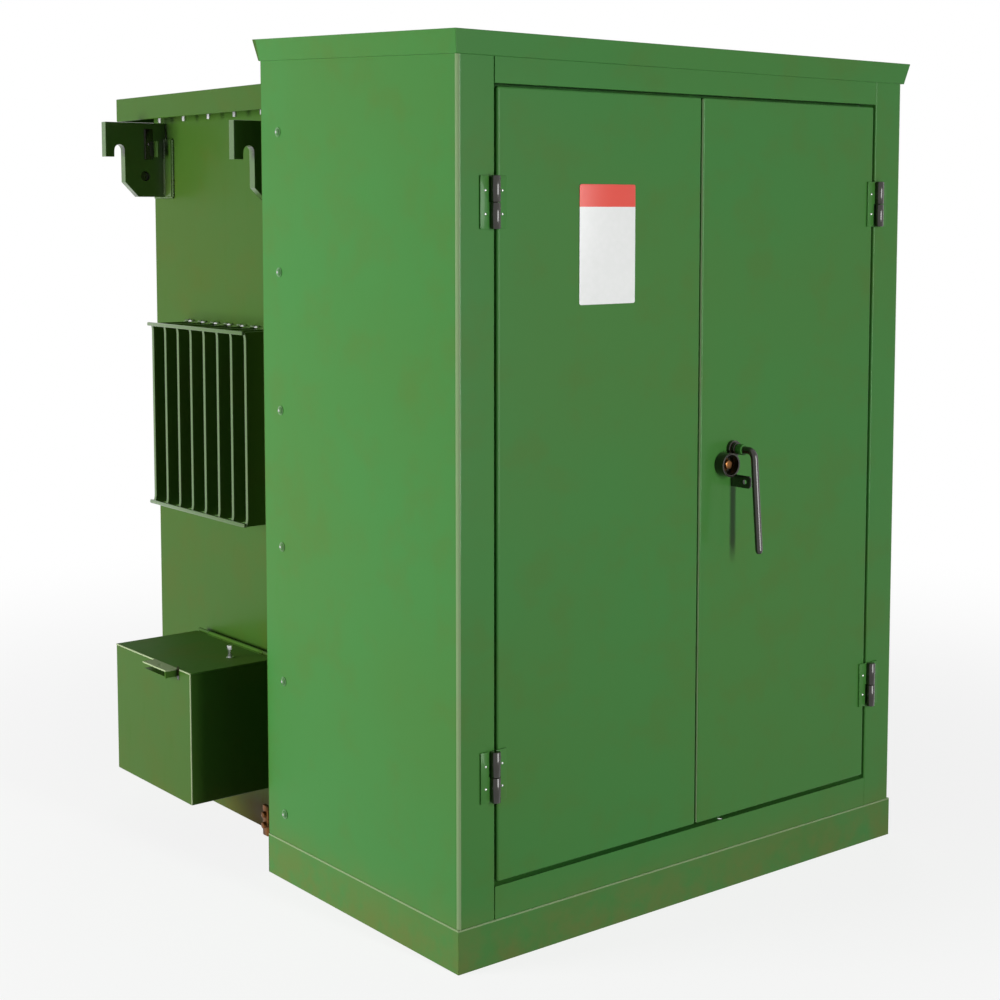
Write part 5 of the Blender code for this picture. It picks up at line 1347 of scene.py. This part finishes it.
def gauges():
    for node, lean in (("oil_level_gauge", 35), ("thermometer", -50)):
        bm, place = newMesh(), onPlate(node)
        turned(bm, softProfile(gauge["out"], gauge["soft"]), place, outward, 64)
        for i in range(4):
            spot = clockSpot(place, gauge["screwRing"], gauge["screwOut"], 45 + 90 * i)
            domeHead(bm, spot, outward, gauge["screw"], gauge["screwHeight"], 10)
        finished(node + "_case", bm, "housing", "cast_metal", [node], angle=40)
        face, wide = newMesh(), gauge["sheet"]
        bmesh.ops.create_circle(face, cap_ends=True, radius=gauge["glass"], segments=64, calc_uvs=False)
        bmesh.ops.solidify(face, geom=face.faces, thickness=gauge["glassThick"])
        bmesh.ops.recalc_face_normals(face, faces=face.faces)
        sheet = face.loops.layers.uv.new("dial")
        for surface in face.faces:
            for corner in surface.loops:
                corner[sheet].uv = (0.5 - corner.vert.co.x / wide, 0.5 + corner.vert.co.y / wide)
        matrix = facing(place + outward * gauge["glassOut"], outward)
        bmesh.ops.transform(face, matrix=matrix, verts=face.verts)
        finished(node + "_dial", face, "housing", "dial")
        pointer, reaches = newMesh(), (-needle["tail"], needle["long"])
        path = [clockSpot(place, reach, needle["out"], 90 + lean) for reach in reaches]
        tube(pointer, path, needle["thick"], 8, lambda t: needle["root"] - needle["taper"] * t)
        hub = drum(needle["hub"], needle["hubFrom"], needle["hubTo"])
        turned(pointer, softProfile(hub, needle["hubSoft"]), place, outward, 24)
        finished(node + "_needle", pointer, "housing", "black_steel")


relief = {
    "out": [
        (0.0065, 0.004), (0.0065, 0.050), (0.018, 0.050), (0.0215, 0.044), (0.0215, 0.022),
        (0.0190, 0.020), (0.0190, seat), (0.016, seat), (0.016, -0.030), (0.010, -0.030), (0.010, 0.004),
    ],
    "nutOut": 0.003, "nut": 0.0440, "nutTall": 0.0140, "bore": 0.0063, "boreFrom": 0.004, "boreTo": 0.06,
    "pin": [(0, 0.006), (0.006, 0.006), (0.006, 0.063), (0.005, 0.064), (0, 0.064)],
    "loop": 0.018, "wire": 0.003, "loopOut": 0.080,
}


def reliefValve():
    bm, bore, pull, place = newMesh(), newMesh(), newMesh(), onPlate("relief_valve")
    turned(bm, relief["out"], place, outward, 40)
    hexHead(bm, place + outward * relief["nutOut"], outward, relief["nut"], relief["nutTall"])
    path = [place + outward * relief[end] for end in ("boreFrom", "boreTo")]
    tube(bore, path, relief["bore"], 24)
    finished("relief_valve_body", drilled(bm, bore), "housing", "brass", ["relief_valve"], angle=35)
    turned(pull, relief["pin"], place, outward, 24)
    loop = wireRing(relief["loop"], relief["wire"], 10)
    turned(pull, loop, place + outward * relief["loopOut"], (1, 0, 0), 36)
    finished("relief_pull_loop", pull, "relief_ring", "zinc_steel", ["relief_pull_ring"], angle=40)
    print("front plate fitted")


# Core and coils, inside the tank
plainParts = {
    "core": "core_steel", "core_frame": "core_steel", "cover_gasket": "gasket_rubber",
    "hv_lv_barrier": "fibre_board",
}
inside = {"soft": 0.0008, "shortest": 0.004}
coil = {"inner": 0.0785, "edge": 0.004, "rise": 0.006, "soft": 0.003}


def activePart():
    for node, slot in plainParts.items():
        bm = nodeMesh(node)
        rounded(bm, inside["soft"], 2, lambda edge: isLong(edge, 45, inside["shortest"]))
        finished(node + "_made", bm, "housing", slot, [node], flat=True)
    for node in ("coil_a", "coil_b", "coil_c"):
        lowest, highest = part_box(node)
        inner, outer, height = coil["inner"], (highest.x - lowest.x) / 2, highest.z - lowest.z
        edge, rise = outer - coil["edge"], coil["rise"]
        outline = [(inner, 0.0), (edge, 0.0), (outer, rise), (outer, height - rise), (edge, height)]
        bm, place = newMesh(), (middle(node).x, middle(node).y, lowest.z)
        turned(bm, softProfile(outline + [(inner, height)], coil["soft"]), place, up, 96)
        finished(node + "_winding", bm, "housing", "winding", [node], angle=40)
    print("core and coils made")


# Floor and background, bright for the camera and its reflections, dim as lights
def seenRays(tree):
    kinds = ("Is Camera Ray", "Is Glossy Ray", "Is Transmission Ray")
    seen, mirrored, through = (addNode(tree, "ShaderNodeLightPath", {}, {}, kind) for kind in kinds)
    return seen, seen.larger(mirrored).larger(through)


def makeFloor():
    bm = newMesh()
    bmesh.ops.create_circle(bm, cap_ends=True, radius=room["floorSize"], segments=96)
    mesh = bpy.data.meshes.new("floor")
    bm.to_mesh(mesh)
    bm.free()
    floor = bpy.data.objects.new("floor", mesh)
    bpy.context.scene.collection.objects.link(floor)
    ground = Finish("floor_paper")
    ground.set("Roughness", room["floorRough"])
    x, y = ground.along(0), ground.along(1)
    away = (x * x + y * y).power(0.5).between(room["shadowFrom"], room["shadowTo"])
    seen, shown = seenRays(ground.tree)
    ground.set("Base Color", ground.mix(room["floorBounce"], room["floorSeen"], seen))
    glow = ground.node("ShaderNodeEmission", {}, {"Color": (1, 1, 1, 1), "Strength": room["background"]})
    amount = shown * (1 - (1 - away) * room["shadowShow"])
    body = Signal(ground.tree, ground.shader.outputs[0])
    mixed = ground.node("ShaderNodeMixShader", {}, {0: amount, 1: body, 2: glow})
    ground.tree.links.new(mixed.socket, ground.tree.nodes["Material Output"].inputs["Surface"])
    mesh.materials.append(ground.material)


def makeWorld():
    world = bpy.data.worlds.new("studio")
    bpy.context.scene.world = world
    world.use_nodes = True
    tree = world.node_tree
    strength = seenRays(tree)[1] * (room["background"] - room["ambient"]) + room["ambient"]
    tree.links.new(strength.socket, tree.nodes["Background"].inputs["Strength"])
    tree.nodes["Background"].inputs["Color"].default_value = (1, 1, 1, 1)


makeCamera()
makeLamps()
makeFinishes()
foldedSheets()
rightDoor()
hinges()
swingHandle()
lockCup()
latchParts()
doorPlate()
fasteners()
liftingLugs()
radiators()
sideBox()
drainValve()
groundClamp()
bushings()
fuses()
turningHandles()
gauges()
reliefValve()
activePart()
makeFloor()
makeWorld()
bpy.context.scene.view_settings.view_transform = "Standard"
